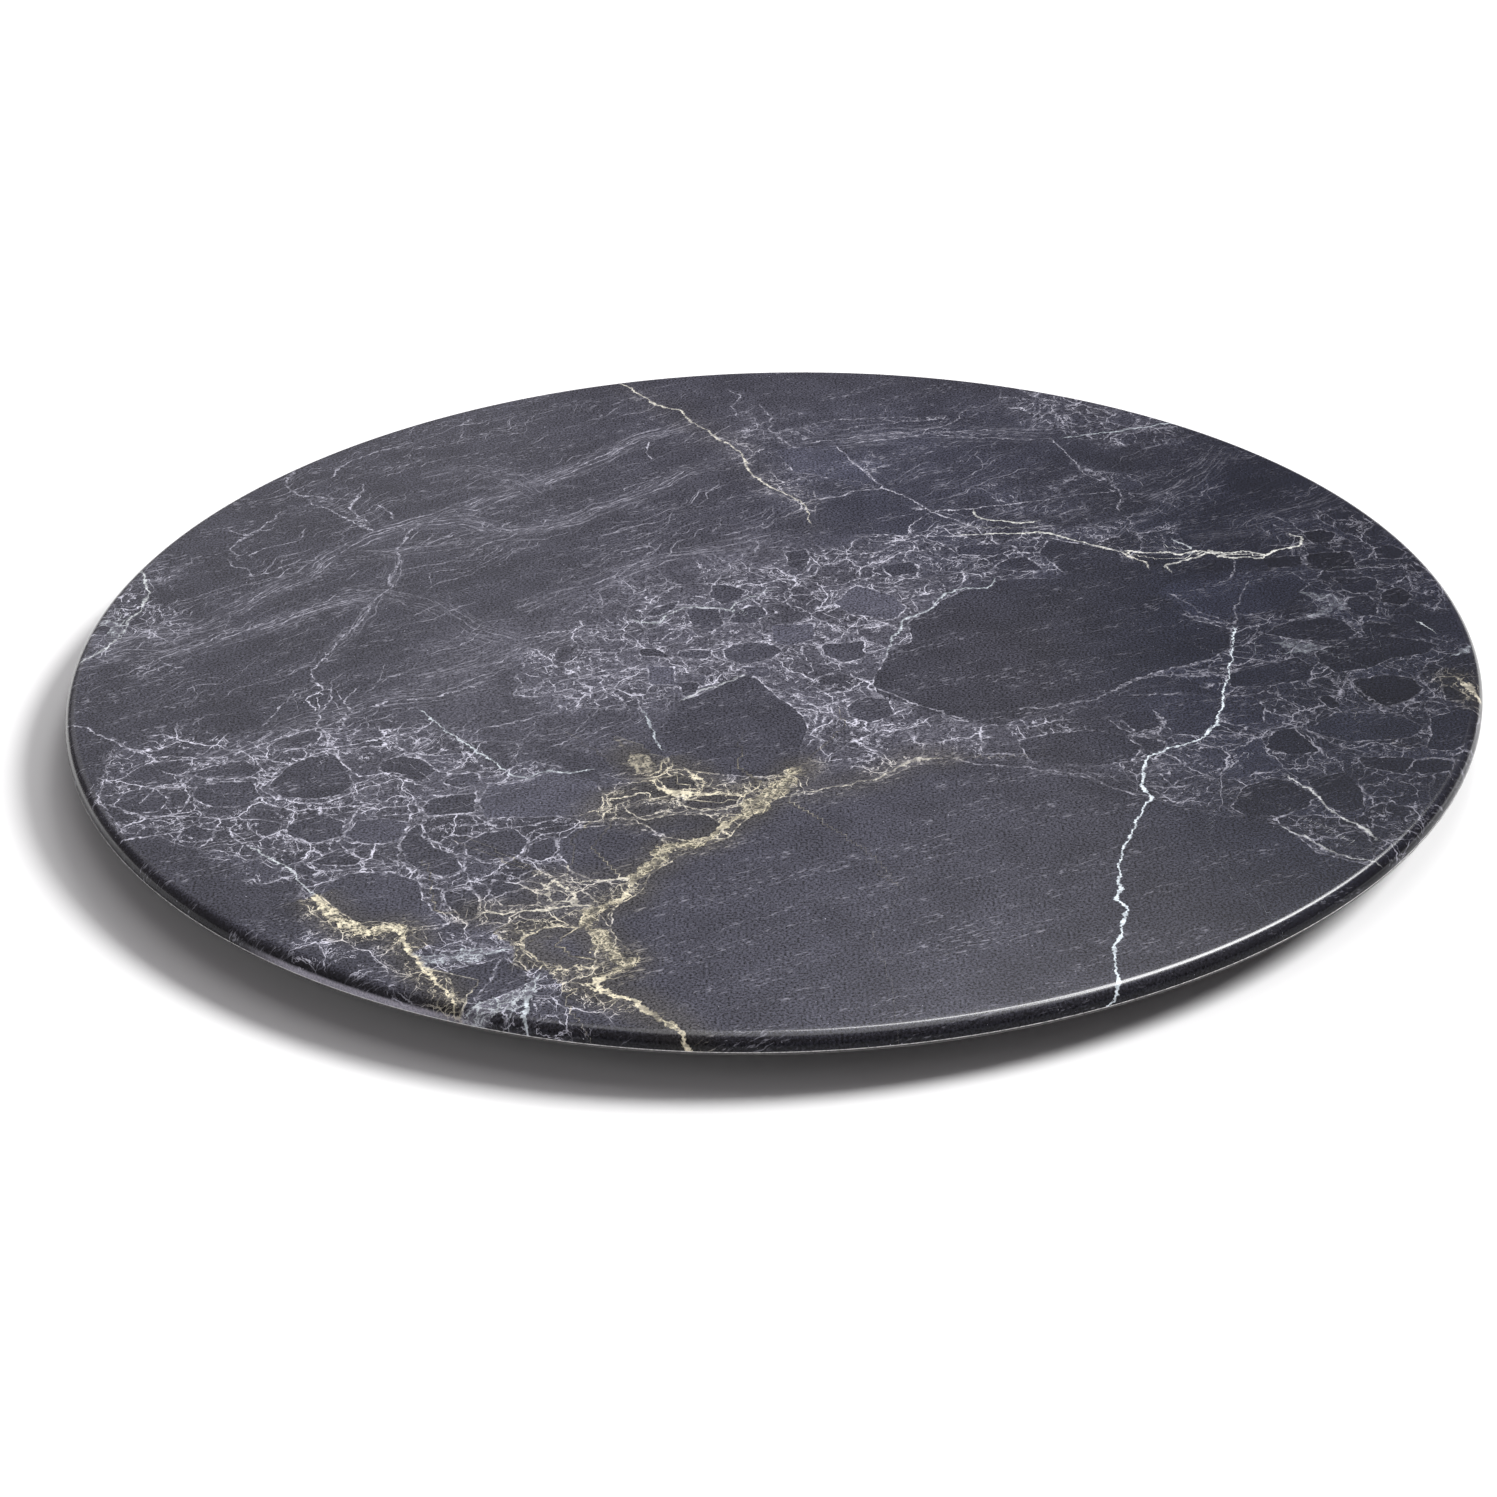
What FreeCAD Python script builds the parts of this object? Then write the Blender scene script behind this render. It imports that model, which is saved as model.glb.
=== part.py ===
"""Lazy susan turntable: a thin round board that turns on a flat aluminium ring bearing with rubber feet.

The frame has +Z up along the axis of rotation. Its origin is on that axis, in the plane that the feet stand on.
Lengths are in millimetres. Three groups of parts turn against each other: the base (outer ring, feet, plug),
the ball train (cage and balls, at half speed) and the turntable (inner ring, screws, and the board with its
film and backing).
"""

import FreeCAD, Part
import math
import os

import Sketcher

# alias, value, what it is
SIZES = [
    ("disc_diameter", 600, "board over its wrapped rim"),
    ("film_thickness", 0.4, "printed film over the top and the rim"),
    ("core_thickness", 6, "fibreboard core"),
    ("backing_thickness", 1, "laminate under the core"),
    ("backing_inset", 0.2, "how far the backing's rim stays inside the film's"),
    ("backing_chamfer", 0.3, "trimmed lower edge of the backing"),
    ("edge_round", 5, "round-over of the rim, on the outside of the film"),
    ("race_diameter", 280, "circle of the ball centres"),
    ("ball_diameter", 5, "bearing balls"),
    ("ball_count", 48, "bearing balls"),
    ("race_clearance", 0.05, "between a ball and its grooves"),
    ("ring_gap", 2, "between the faces of the two rings"),
    ("ring_height", 11.5, "each ring"),
    ("ring_step", 2, "how far the inner ring stands above the outer one"),
    ("web_thickness", 6, "upright wall of each ring"),
    ("flange_width", 16, "flange of each ring, beyond its web"),
    ("flange_thickness", 3, "flange of each ring"),
    ("edge_break", 0.5, "chamfer on the rings' corners"),
    ("cage_thickness", 1.2, "ball cage, across the gap"),
    ("cage_height", 8, "ball cage"),
    ("pocket_clearance", 0.15, "between a ball and its pocket in the cage"),
    ("plug_diameter", 6, "plug of the ball loading hole"),
    ("plug_setback", 0.4, "how far the plug stays inside the web's outer face"),
    ("socket_width", 3, "hexagon socket of the plug, across its flats"),
    ("socket_depth", 1.6, "hexagon socket of the plug"),
    ("screw_count", 6, "screws that hold the inner ring to the board"),
    ("screw_diameter", 3.5, "screw shank"),
    ("screw_hole_diameter", 4.2, "clearance hole in the inner flange"),
    ("screw_head_diameter", 7, "countersunk head"),
    ("screw_length", 8, "from the head's face to the tip"),
    ("screw_tip", 1.5, "tapered end of the screw"),
    ("recess_width", 0.9, "each arm of the cross recess"),
    ("recess_span", 3.8, "cross recess, tip to tip"),
    ("recess_depth", 1.2, "cross recess"),
    ("foot_count", 6, "rubber feet"),
    ("foot_height", 2.5, "foot below the flange"),
    ("foot_diameter", 14, "foot pad"),
    ("foot_round", 0.8, "rounded lower edge of the pad"),
    ("stem_diameter", 5, "foot stem in the flange"),
    ("barb_diameter", 7, "head that keeps the foot in its hole"),
    ("barb_height", 1.8, "head that keeps the foot in its hole"),
]

doc = FreeCAD.newDocument("lazy_susan")
sheet = doc.addObject("Spreadsheet::Sheet", "Sizes")
for line, (alias, value, note) in enumerate(SIZES, start=1):
    sheet.set(f"A{line}", alias)
    sheet.set(f"B{line}", str(value))
    sheet.set(f"C{line}", note)
    sheet.setAlias(f"B{line}", alias)
doc.recompute()


def expr(text):
    """The text as an expression: each alias of the sheet gets the sheet's name in front of it."""
    words = {alias for alias, _, _ in SIZES}
    out, word = "", ""
    for letter in text + " ":
        if letter.isalnum() or letter == "_":
            word += letter
            continue
        out += f"Sizes.{word}" if word in words else word
        out += letter
        word = ""
    return out.strip()


def size(text):
    """The number that an expression of sizes comes to."""
    return float(sheet.evalExpression(expr(text)))


# Heights and radii that several parts share, as expressions of the sizes.
UNDERSIDE = "(foot_height + ring_height + ring_step)"
CORE_BOTTOM = f"({UNDERSIDE} + backing_thickness)"
CORE_TOP = f"({CORE_BOTTOM} + core_thickness)"
TOP = f"({CORE_TOP} + film_thickness)"
RIM = "(disc_diameter / 2)"
CORE_RIM = f"({RIM} - film_thickness)"
CORE_ROUND = "(edge_round - film_thickness)"
BALL_LEVEL = "(foot_height + (ring_height + ring_step) / 2)"
PITCH = "(race_diameter / 2)"
APEX = "((ball_diameter / 2 + race_clearance) * sqrt(2))"
MOUTH = f"({APEX} - ring_gap / 2)"
INNER_FACE = f"({PITCH} - ring_gap / 2)"
OUTER_FACE = f"({PITCH} + ring_gap / 2)"
INNER_WEB = f"({INNER_FACE} - web_thickness)"
OUTER_WEB = f"({OUTER_FACE} + web_thickness)"
SCREW_CIRCLE = f"({INNER_WEB} - flange_width / 2)"
FOOT_CIRCLE = f"({OUTER_WEB} + flange_width / 2)"
SCREW_FACE = f"({UNDERSIDE} - flange_thickness)"
FLANGE_TOP = "(foot_height + flange_thickness)"


def new_body(label):
    """An empty body with its label."""
    body = doc.addObject("PartDesign::Body", label)
    body.Label = label
    return body


def origin(body, role):
    """A plane or axis of the body's own origin."""
    return next(item for item in body.Origin.OriginFeatures if item.Role == role)


def new_sketch(body, name, plane="XZ_Plane", offset=None):
    """An empty sketch on a plane of its own body's origin, or offset from it along the plane's normal."""
    sketch = body.newObject("Sketcher::SketchObject", name)
    sketch.AttachmentSupport = [(origin(body, plane), "")]
    sketch.MapMode = "FlatFace"
    if offset:
        sketch.setExpression("AttachmentOffset.Base.z", expr(offset))
    return sketch


def pin_point(sketch, geometry, end, across, up):
    """Ties one end of a sketch line to the two expressions of its place."""
    places = [("DistanceX", across, -2), ("DistanceY", up, -1)]
    for kind, text, axis in places:
        if abs(size(text)) < 1e-9:
            sketch.addConstraint(Sketcher.Constraint("PointOnObject", geometry, end, axis))
            continue
        tie = Sketcher.Constraint(kind, -1, 1, geometry, end, size(text))
        number = sketch.addConstraint(tie)
        sketch.setExpression(f"Constraints[{number}]", expr(text))


def draw_outline(sketch, corners, arcs=None):
    """A closed outline. arcs maps a corner's number to (centre across, centre up, radius, turn) of the arc
    that leaves it; turn is 1 for an anticlockwise arc and -1 for a clockwise one."""
    arcs = arcs or {}
    spots = [FreeCAD.Vector(size(x), size(y), 0) for x, y in corners]
    ends = {}
    first = sketch.GeometryCount
    for number, start in enumerate(spots):
        stop = spots[(number + 1) % len(spots)]
        if number in arcs:
            across, up, radius, turn = arcs[number]
            centre = FreeCAD.Vector(size(across), size(up), 0)
            circle = Part.Circle(centre, FreeCAD.Vector(0, 0, 1), size(radius))
            low, high = (start, stop) if turn > 0 else (stop, start)
            angles = [math.atan2(p.y - centre.y, p.x - centre.x) for p in (low, high)]
            if angles[1] < angles[0]:
                angles[1] += 2 * math.pi
            sketch.addGeometry(Part.ArcOfCircle(circle, *angles), False)
            ends[number] = (1, 2) if turn > 0 else (2, 1)
        else:
            sketch.addGeometry(Part.LineSegment(start, stop), False)
            ends[number] = (1, 2)
    for number, (across, up) in enumerate(corners):
        follower = (number + 1) % len(corners)
        join = Sketcher.Constraint(
            "Coincident", first + number, ends[number][1], first + follower, ends[follower][0]
        )
        sketch.addConstraint(join)
        if number in arcs:
            radius = arcs[number][2]
            tie = sketch.addConstraint(Sketcher.Constraint("Radius", first + number, size(radius)))
            sketch.setExpression(f"Constraints[{tie}]", expr(radius))
        pin_point(sketch, first + number, ends[number][0], across, up)


def draw_circle(sketch, across, up, diameter):
    """A circle whose centre and diameter follow the sheet."""
    centre = FreeCAD.Vector(size(across), size(up), 0)
    circle = Part.Circle(centre, FreeCAD.Vector(0, 0, 1), size(diameter) / 2)
    number = sketch.addGeometry(circle, False)
    tie = sketch.addConstraint(Sketcher.Constraint("Diameter", number, size(diameter)))
    sketch.setExpression(f"Constraints[{tie}]", expr(diameter))
    pin_point(sketch, number, 3, across, up)


def turned(body, name, corners, arcs=None, cut=False, axis=None):
    """A turned solid, or a turned cut, from half its section. axis is the distance of its own upright axis
    from the body's; without one it turns about the body's."""
    sketch = new_sketch(body, f"{name}_section")
    if axis:
        bottom = FreeCAD.Vector(size(axis), size("foot_height"), 0)
        top = FreeCAD.Vector(size(axis), size(TOP), 0)
        number = sketch.addGeometry(Part.LineSegment(bottom, top), True)
        pin_point(sketch, number, 1, axis, "foot_height")
        pin_point(sketch, number, 2, axis, TOP)
    draw_outline(sketch, corners, arcs)
    kind = "PartDesign::Groove" if cut else "PartDesign::Revolution"
    feature = body.newObject(kind, name)
    feature.Profile = sketch
    feature.ReferenceAxis = (sketch, ["Axis0" if axis else "V_Axis"])
    feature.Angle = 360
    sketch.Visibility = False
    doc.recompute()
    return feature


def repeated(body, name, feature, count):
    """The feature, count times around the body's upright axis."""
    pattern = body.newObject("PartDesign::PolarPattern", name)
    pattern.Originals = [feature]
    pattern.Axis = (origin(body, "Z_Axis"), [""])
    pattern.Angle = 360
    pattern.setExpression("Occurrences", expr(count))
    body.Tip = pattern
    doc.recompute()
    return pattern


def volume(body):
    """The body's volume as it stands, for checking that a cut has cut."""
    doc.recompute()
    return body.Shape.Volume


def must_have_cut(body, before):
    """Stops the build if the last feature took nothing away."""
    if volume(body) >= before - 1e-6:
        raise RuntimeError(f"{body.Label}: {body.Tip.Name} cut nothing")


def place_around(body, steps, count):
    """Turns a body about the upright axis by so many steps of count equal ones."""
    upright = FreeCAD.Vector(0, 0, 1)
    angle = 360.0 * steps / size(count)
    body.Placement = FreeCAD.Placement(FreeCAD.Vector(0, 0, 0), FreeCAD.Rotation(upright, angle))
    if steps:
        body.setExpression("Placement.Rotation.Angle", expr(f"360 * {steps} / {count}"))


# ---- board ----


def make_marble_film():
    """Printed film, pressed over the top and round the rim, and trimmed level with the core's underside."""
    body = new_body("marble_film")
    corners = [
        ("0", CORE_TOP),
        (f"{CORE_RIM} - {CORE_ROUND}", CORE_TOP),
        (CORE_RIM, f"{CORE_TOP} - {CORE_ROUND}"),
        (CORE_RIM, CORE_BOTTOM),
        (RIM, CORE_BOTTOM),
        (RIM, f"{TOP} - edge_round"),
        (f"{RIM} - edge_round", TOP),
        ("0", TOP),
    ]
    arcs = {
        1: (f"{CORE_RIM} - {CORE_ROUND}", f"{CORE_TOP} - {CORE_ROUND}", CORE_ROUND, -1),
        5: (f"{RIM} - edge_round", f"{TOP} - edge_round", "edge_round", 1),
    }
    turned(body, "film_skin", corners, arcs)
    return body


def make_board_core():
    """Fibreboard disc with a rounded upper edge and a pilot hole for each ring screw."""
    body = new_body("board_core")
    corners = [
        ("0", CORE_BOTTOM),
        (CORE_RIM, CORE_BOTTOM),
        (CORE_RIM, f"{CORE_TOP} - {CORE_ROUND}"),
        (f"{CORE_RIM} - {CORE_ROUND}", CORE_TOP),
        ("0", CORE_TOP),
    ]
    arcs = {2: (f"{CORE_RIM} - {CORE_ROUND}", f"{CORE_TOP} - {CORE_ROUND}", CORE_ROUND, 1)}
    turned(body, "core_disc", corners, arcs)
    before = volume(body)
    wall = f"({SCREW_CIRCLE} + screw_diameter / 2)"
    end = f"({SCREW_FACE} + screw_length)"
    pilot = [(SCREW_CIRCLE, CORE_BOTTOM), (wall, CORE_BOTTOM), (wall, end), (SCREW_CIRCLE, end)]
    hole = turned(body, "pilot_hole", pilot, cut=True, axis=SCREW_CIRCLE)
    repeated(body, "pilot_holes", hole, "screw_count")
    must_have_cut(body, before)
    return body


def make_backing_sheet():
    """Laminate that balances the film, with its lower edge trimmed, pierced by the ring screws."""
    body = new_body("backing_sheet")
    edge = f"({RIM} - backing_inset)"
    corners = [
        ("0", UNDERSIDE),
        (f"{edge} - backing_chamfer", UNDERSIDE),
        (edge, f"{UNDERSIDE} + backing_chamfer"),
        (edge, CORE_BOTTOM),
        ("0", CORE_BOTTOM),
    ]
    turned(body, "backing_disc", corners)
    before = volume(body)
    wall = f"({SCREW_CIRCLE} + screw_diameter / 2)"
    pierced = [
        (SCREW_CIRCLE, UNDERSIDE),
        (wall, UNDERSIDE),
        (wall, CORE_BOTTOM),
        (SCREW_CIRCLE, CORE_BOTTOM),
    ]
    hole = turned(body, "screw_hole", pierced, cut=True, axis=SCREW_CIRCLE)
    repeated(body, "screw_holes", hole, "screw_count")
    must_have_cut(body, before)
    return body


# ---- ring bearing ----


def cut_screw_seats(body):
    """Countersunk holes around the inner flange, with the heads' side below."""
    before = volume(body)
    head, hole = "(screw_head_diameter / 2)", "(screw_hole_diameter / 2)"
    corners = [
        (SCREW_CIRCLE, SCREW_FACE),
        (f"{SCREW_CIRCLE} + {head}", SCREW_FACE),
        (f"{SCREW_CIRCLE} + {hole}", f"{SCREW_FACE} + {head} - {hole}"),
        (f"{SCREW_CIRCLE} + {hole}", UNDERSIDE),
        (SCREW_CIRCLE, UNDERSIDE),
    ]
    drilled = turned(body, "screw_seat", corners, cut=True, axis=SCREW_CIRCLE)
    repeated(body, "screw_seats", drilled, "screw_count")
    must_have_cut(body, before)


def make_turning_ring():
    """Inner ring: a flange under the board and a web whose outer face holds the inner ball groove."""
    body = new_body("turning_ring")
    low = "(foot_height + ring_step)"
    lip = f"({INNER_WEB} - flange_width)"
    corners = [
        (INNER_WEB, low),
        (f"{INNER_FACE} - edge_break", low),
        (INNER_FACE, f"{low} + edge_break"),
        (INNER_FACE, f"{BALL_LEVEL} - {MOUTH}"),
        (f"{PITCH} - {APEX}", BALL_LEVEL),
        (INNER_FACE, f"{BALL_LEVEL} + {MOUTH}"),
        (INNER_FACE, f"{UNDERSIDE} - edge_break"),
        (f"{INNER_FACE} - edge_break", UNDERSIDE),
        (lip, UNDERSIDE),
        (lip, f"{SCREW_FACE} + edge_break"),
        (f"{lip} + edge_break", SCREW_FACE),
        (INNER_WEB, SCREW_FACE),
    ]
    turned(body, "inner_ring", corners)
    cut_screw_seats(body)
    return body


def make_base_ring():
    """Outer ring: a foot flange and a web whose inner face holds the outer ball groove. It has a hole for
    each foot's stem, and the radial hole that the balls were loaded through."""
    body = new_body("base_ring")
    high = "(foot_height + ring_height)"
    edge = f"({OUTER_WEB} + flange_width)"
    corners = [
        (OUTER_FACE, "foot_height"),
        (f"{edge} - edge_break", "foot_height"),
        (edge, "foot_height + edge_break"),
        (edge, f"{FLANGE_TOP} - edge_break"),
        (f"{edge} - edge_break", FLANGE_TOP),
        (OUTER_WEB, FLANGE_TOP),
        (OUTER_WEB, f"{high} - edge_break"),
        (f"{OUTER_WEB} - edge_break", high),
        (f"{OUTER_FACE} + edge_break", high),
        (OUTER_FACE, f"{high} - edge_break"),
        (OUTER_FACE, f"{BALL_LEVEL} + {MOUTH}"),
        (f"{PITCH} + {APEX}", BALL_LEVEL),
        (OUTER_FACE, f"{BALL_LEVEL} - {MOUTH}"),
    ]
    turned(body, "outer_ring", corners)
    cut_stem_holes(body)
    cut_loading_hole(body)
    return body


def cut_stem_holes(body):
    """A hole for each foot's stem, the first of them half a step from the X axis."""
    before = volume(body)
    sketch = new_sketch(body, "stem_circle", "XY_Plane")
    half_step = "180 / foot_count"
    across = f"{FOOT_CIRCLE} * cos({half_step})"
    along = f"{FOOT_CIRCLE} * sin({half_step})"
    draw_circle(sketch, across, along, "stem_diameter")
    hole = body.newObject("PartDesign::Pocket", "stem_hole")
    hole.Profile = sketch
    hole.Reversed = True
    hole.setExpression("Length", expr(FLANGE_TOP))
    sketch.Visibility = False
    doc.recompute()
    repeated(body, "stem_holes", hole, "foot_count")
    must_have_cut(body, before)


def cut_loading_hole(body):
    """The radial hole through the web that the balls went in by."""
    before = volume(body)
    sketch = new_sketch(body, "loading_circle", "YZ_Plane")
    draw_circle(sketch, "0", BALL_LEVEL, "plug_diameter")
    hole = body.newObject("PartDesign::Pocket", "loading_hole")
    hole.Profile = sketch
    hole.Reversed = True
    hole.setExpression("Length", expr(OUTER_WEB))
    sketch.Visibility = False
    must_have_cut(body, before)


def make_loading_plug():
    """Round plug in the loading hole. Its inner end carries the ball groove on, and its outer end has a
    socket."""
    body = new_body("loading_plug")
    sketch = new_sketch(body, "plug_circle", "YZ_Plane", f"{OUTER_WEB} - plug_setback")
    draw_circle(sketch, "0", BALL_LEVEL, "plug_diameter")
    shank = body.newObject("PartDesign::Pad", "plug_shank")
    shank.Profile = sketch
    shank.Reversed = True
    shank.setExpression("Length", expr("web_thickness - plug_setback"))
    sketch.Visibility = False
    before = volume(body)
    groove = [
        (f"{OUTER_FACE} - ring_gap", f"{BALL_LEVEL} - {MOUTH} - ring_gap"),
        (f"{PITCH} + {APEX}", BALL_LEVEL),
        (f"{OUTER_FACE} - ring_gap", f"{BALL_LEVEL} + {MOUTH} + ring_gap"),
    ]
    turned(body, "plug_groove", groove, cut=True)
    must_have_cut(body, before)
    face = [
        (f"{OUTER_FACE} - ring_gap", "foot_height"),
        (OUTER_FACE, "foot_height"),
        (OUTER_FACE, UNDERSIDE),
        (f"{OUTER_FACE} - ring_gap", UNDERSIDE),
    ]
    turned(body, "plug_face", face, cut=True)
    cut_socket(body)
    return body


def cut_socket(body):
    """Hexagon socket in the plug's outer end."""
    before = volume(body)
    sketch = new_sketch(body, "socket_outline", "YZ_Plane", f"{OUTER_WEB} - plug_setback")
    corner = "(socket_width / sqrt(3))"
    corners = []
    for number in range(6):
        turn = f"{60 * number}"
        corners.append((f"{corner} * cos({turn})", f"{BALL_LEVEL} + {corner} * sin({turn})"))
    draw_outline(sketch, corners)
    socket = body.newObject("PartDesign::Pocket", "socket")
    socket.Profile = sketch
    socket.setExpression("Length", expr("socket_depth"))
    sketch.Visibility = False
    must_have_cut(body, before)


def make_ball_cage():
    """Thin nylon band in the gap between the rings, with a round pocket for each ball."""
    body = new_body("ball_cage")
    inner = f"({PITCH} - cage_thickness / 2)"
    outer = f"({PITCH} + cage_thickness / 2)"
    low = f"({BALL_LEVEL} - cage_height / 2)"
    high = f"({BALL_LEVEL} + cage_height / 2)"
    turned(body, "band", [(inner, low), (outer, low), (outer, high), (inner, high)])
    before = volume(body)
    sketch = new_sketch(body, "pocket_circle", "YZ_Plane")
    draw_circle(sketch, "0", BALL_LEVEL, "ball_diameter + 2 * pocket_clearance")
    pocket = body.newObject("PartDesign::Pocket", "ball_pocket")
    pocket.Profile = sketch
    pocket.Reversed = True
    pocket.setExpression("Length", expr(f"{outer} + ring_gap"))
    sketch.Visibility = False
    doc.recompute()
    repeated(body, "ball_pockets", pocket, "ball_count")
    must_have_cut(body, before)
    return body


def make_bearing_balls():
    """The steel balls, one in each pocket of the cage."""
    balls = doc.addObject("Part::Feature", "bearing_balls")
    balls.Label = "bearing_balls"
    count = round(size("ball_count"))
    spheres = []
    for number in range(count):
        angle = 2 * math.pi * number / count
        centre = FreeCAD.Vector(
            size(PITCH) * math.cos(angle), size(PITCH) * math.sin(angle), size(BALL_LEVEL)
        )
        spheres.append(Part.makeSphere(size("ball_diameter / 2"), centre))
    balls.Shape = Part.makeCompound(spheres)
    return balls


# ---- fasteners and feet ----


def make_ring_screw(number):
    """Countersunk screw up through the inner flange and into the core, with a cross recess in its head."""
    body = new_body(f"ring_screw_{number + 1}")
    head = "(screw_head_diameter / 2)"
    shank = "(screw_diameter / 2)"
    end = f"({SCREW_FACE} + screw_length)"
    corners = [
        (SCREW_CIRCLE, SCREW_FACE),
        (f"{SCREW_CIRCLE} + {head}", SCREW_FACE),
        (f"{SCREW_CIRCLE} + {shank}", f"{SCREW_FACE} + {head} - {shank}"),
        (f"{SCREW_CIRCLE} + {shank}", f"{end} - screw_tip"),
        (f"{SCREW_CIRCLE} + {shank} / 4", end),
        (SCREW_CIRCLE, end),
    ]
    turned(body, "shank_and_head", corners, axis=SCREW_CIRCLE)
    cut_recess(body)
    place_around(body, number, "screw_count")
    return body


def cut_recess(body):
    """Cross recess in a screw's head."""
    before = volume(body)
    sketch = new_sketch(body, "recess_outline", "XY_Plane", SCREW_FACE)
    arm, reach = "(recess_width / 2)", "(recess_span / 2)"
    quarter = [(reach, f"-{arm}"), (reach, arm), (arm, arm)]
    corners = []
    for turn in range(4):
        for across, up in quarter:
            for _ in range(turn):
                across, up = f"-({up})", across
            corners.append((f"{SCREW_CIRCLE} + ({across})", up))
    draw_outline(sketch, corners)
    recess = body.newObject("PartDesign::Pocket", "recess")
    recess.Profile = sketch
    recess.Reversed = True
    recess.setExpression("Length", expr("recess_depth"))
    sketch.Visibility = False
    must_have_cut(body, before)


def make_foot(number):
    """Rubber foot: a pad under the flange, a stem through it and a head above that keeps it in."""
    body = new_body(f"foot_{number + 1}")
    pad, stem, barb = "(foot_diameter / 2)", "(stem_diameter / 2)", "(barb_diameter / 2)"
    centre = FOOT_CIRCLE
    corners = [
        (centre, "0"),
        (f"{centre} + {pad} - foot_round", "0"),
        (f"{centre} + {pad}", "foot_round"),
        (f"{centre} + {pad}", "foot_height"),
        (f"{centre} + {stem}", "foot_height"),
        (f"{centre} + {stem}", FLANGE_TOP),
        (f"{centre} + {barb}", FLANGE_TOP),
        (f"{centre} + {stem} / 2", f"{FLANGE_TOP} + barb_height"),
        (centre, f"{FLANGE_TOP} + barb_height"),
    ]
    arcs = {1: (f"{centre} + {pad} - foot_round", "foot_round", "foot_round", 1)}
    turned(body, "pad_and_stem", corners, arcs, axis=centre)
    place_around(body, number + 0.5, "foot_count")
    return body


def check_built(parts):
    """Stops the build if an object failed or a part isn't a set of valid closed solids."""
    doc.recompute()
    for item in doc.Objects:
        if any(word in item.State for word in ("Invalid", "Error")):
            raise RuntimeError(f"{item.Label} failed: {item.State}")
    for part in parts:
        shape = part.Shape
        if shape.isNull() or not shape.isValid() or not shape.Solids:
            raise RuntimeError(f"{part.Label} is not a valid solid")


def write_steps(parts):
    """One STEP file for each part, named by its label."""
    os.makedirs("parts", exist_ok=True)
    for name in os.listdir("parts"):
        if name.endswith(".step"):
            os.remove(os.path.join("parts", name))
    for part in parts:
        part.Shape.exportStep(os.path.join("parts", f"{part.Label}.step"))
        print(f"{part.Label}: {len(part.Shape.Solids)} solids, {part.Shape.Volume:.1f} mm3")


parts = [
    make_marble_film(),
    make_board_core(),
    make_backing_sheet(),
    make_turning_ring(),
    make_base_ring(),
    make_loading_plug(),
    make_ball_cage(),
    make_bearing_balls(),
]
parts += [make_ring_screw(number) for number in range(round(size("screw_count")))]
parts += [make_foot(number) for number in range(round(size("foot_count")))]
check_built(parts)
write_steps(parts)
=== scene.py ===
import math
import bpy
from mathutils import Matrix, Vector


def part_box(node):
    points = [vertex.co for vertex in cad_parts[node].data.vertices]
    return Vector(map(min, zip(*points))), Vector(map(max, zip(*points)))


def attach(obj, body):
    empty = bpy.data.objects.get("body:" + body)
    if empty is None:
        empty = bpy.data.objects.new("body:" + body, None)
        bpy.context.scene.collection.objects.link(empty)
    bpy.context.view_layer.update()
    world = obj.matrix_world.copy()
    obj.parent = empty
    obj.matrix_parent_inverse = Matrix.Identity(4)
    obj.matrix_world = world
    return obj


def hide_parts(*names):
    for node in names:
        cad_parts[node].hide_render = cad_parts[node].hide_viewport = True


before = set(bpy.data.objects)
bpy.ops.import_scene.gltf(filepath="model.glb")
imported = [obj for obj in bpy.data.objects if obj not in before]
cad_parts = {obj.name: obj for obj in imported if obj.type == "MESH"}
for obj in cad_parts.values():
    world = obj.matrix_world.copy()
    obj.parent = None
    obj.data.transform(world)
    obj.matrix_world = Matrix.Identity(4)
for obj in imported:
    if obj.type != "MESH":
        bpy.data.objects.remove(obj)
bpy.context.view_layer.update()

from types import SimpleNamespace

import bpy
import numpy as np
from mathutils import Matrix, Vector

mm = 0.001
print("frame loaded")


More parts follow.
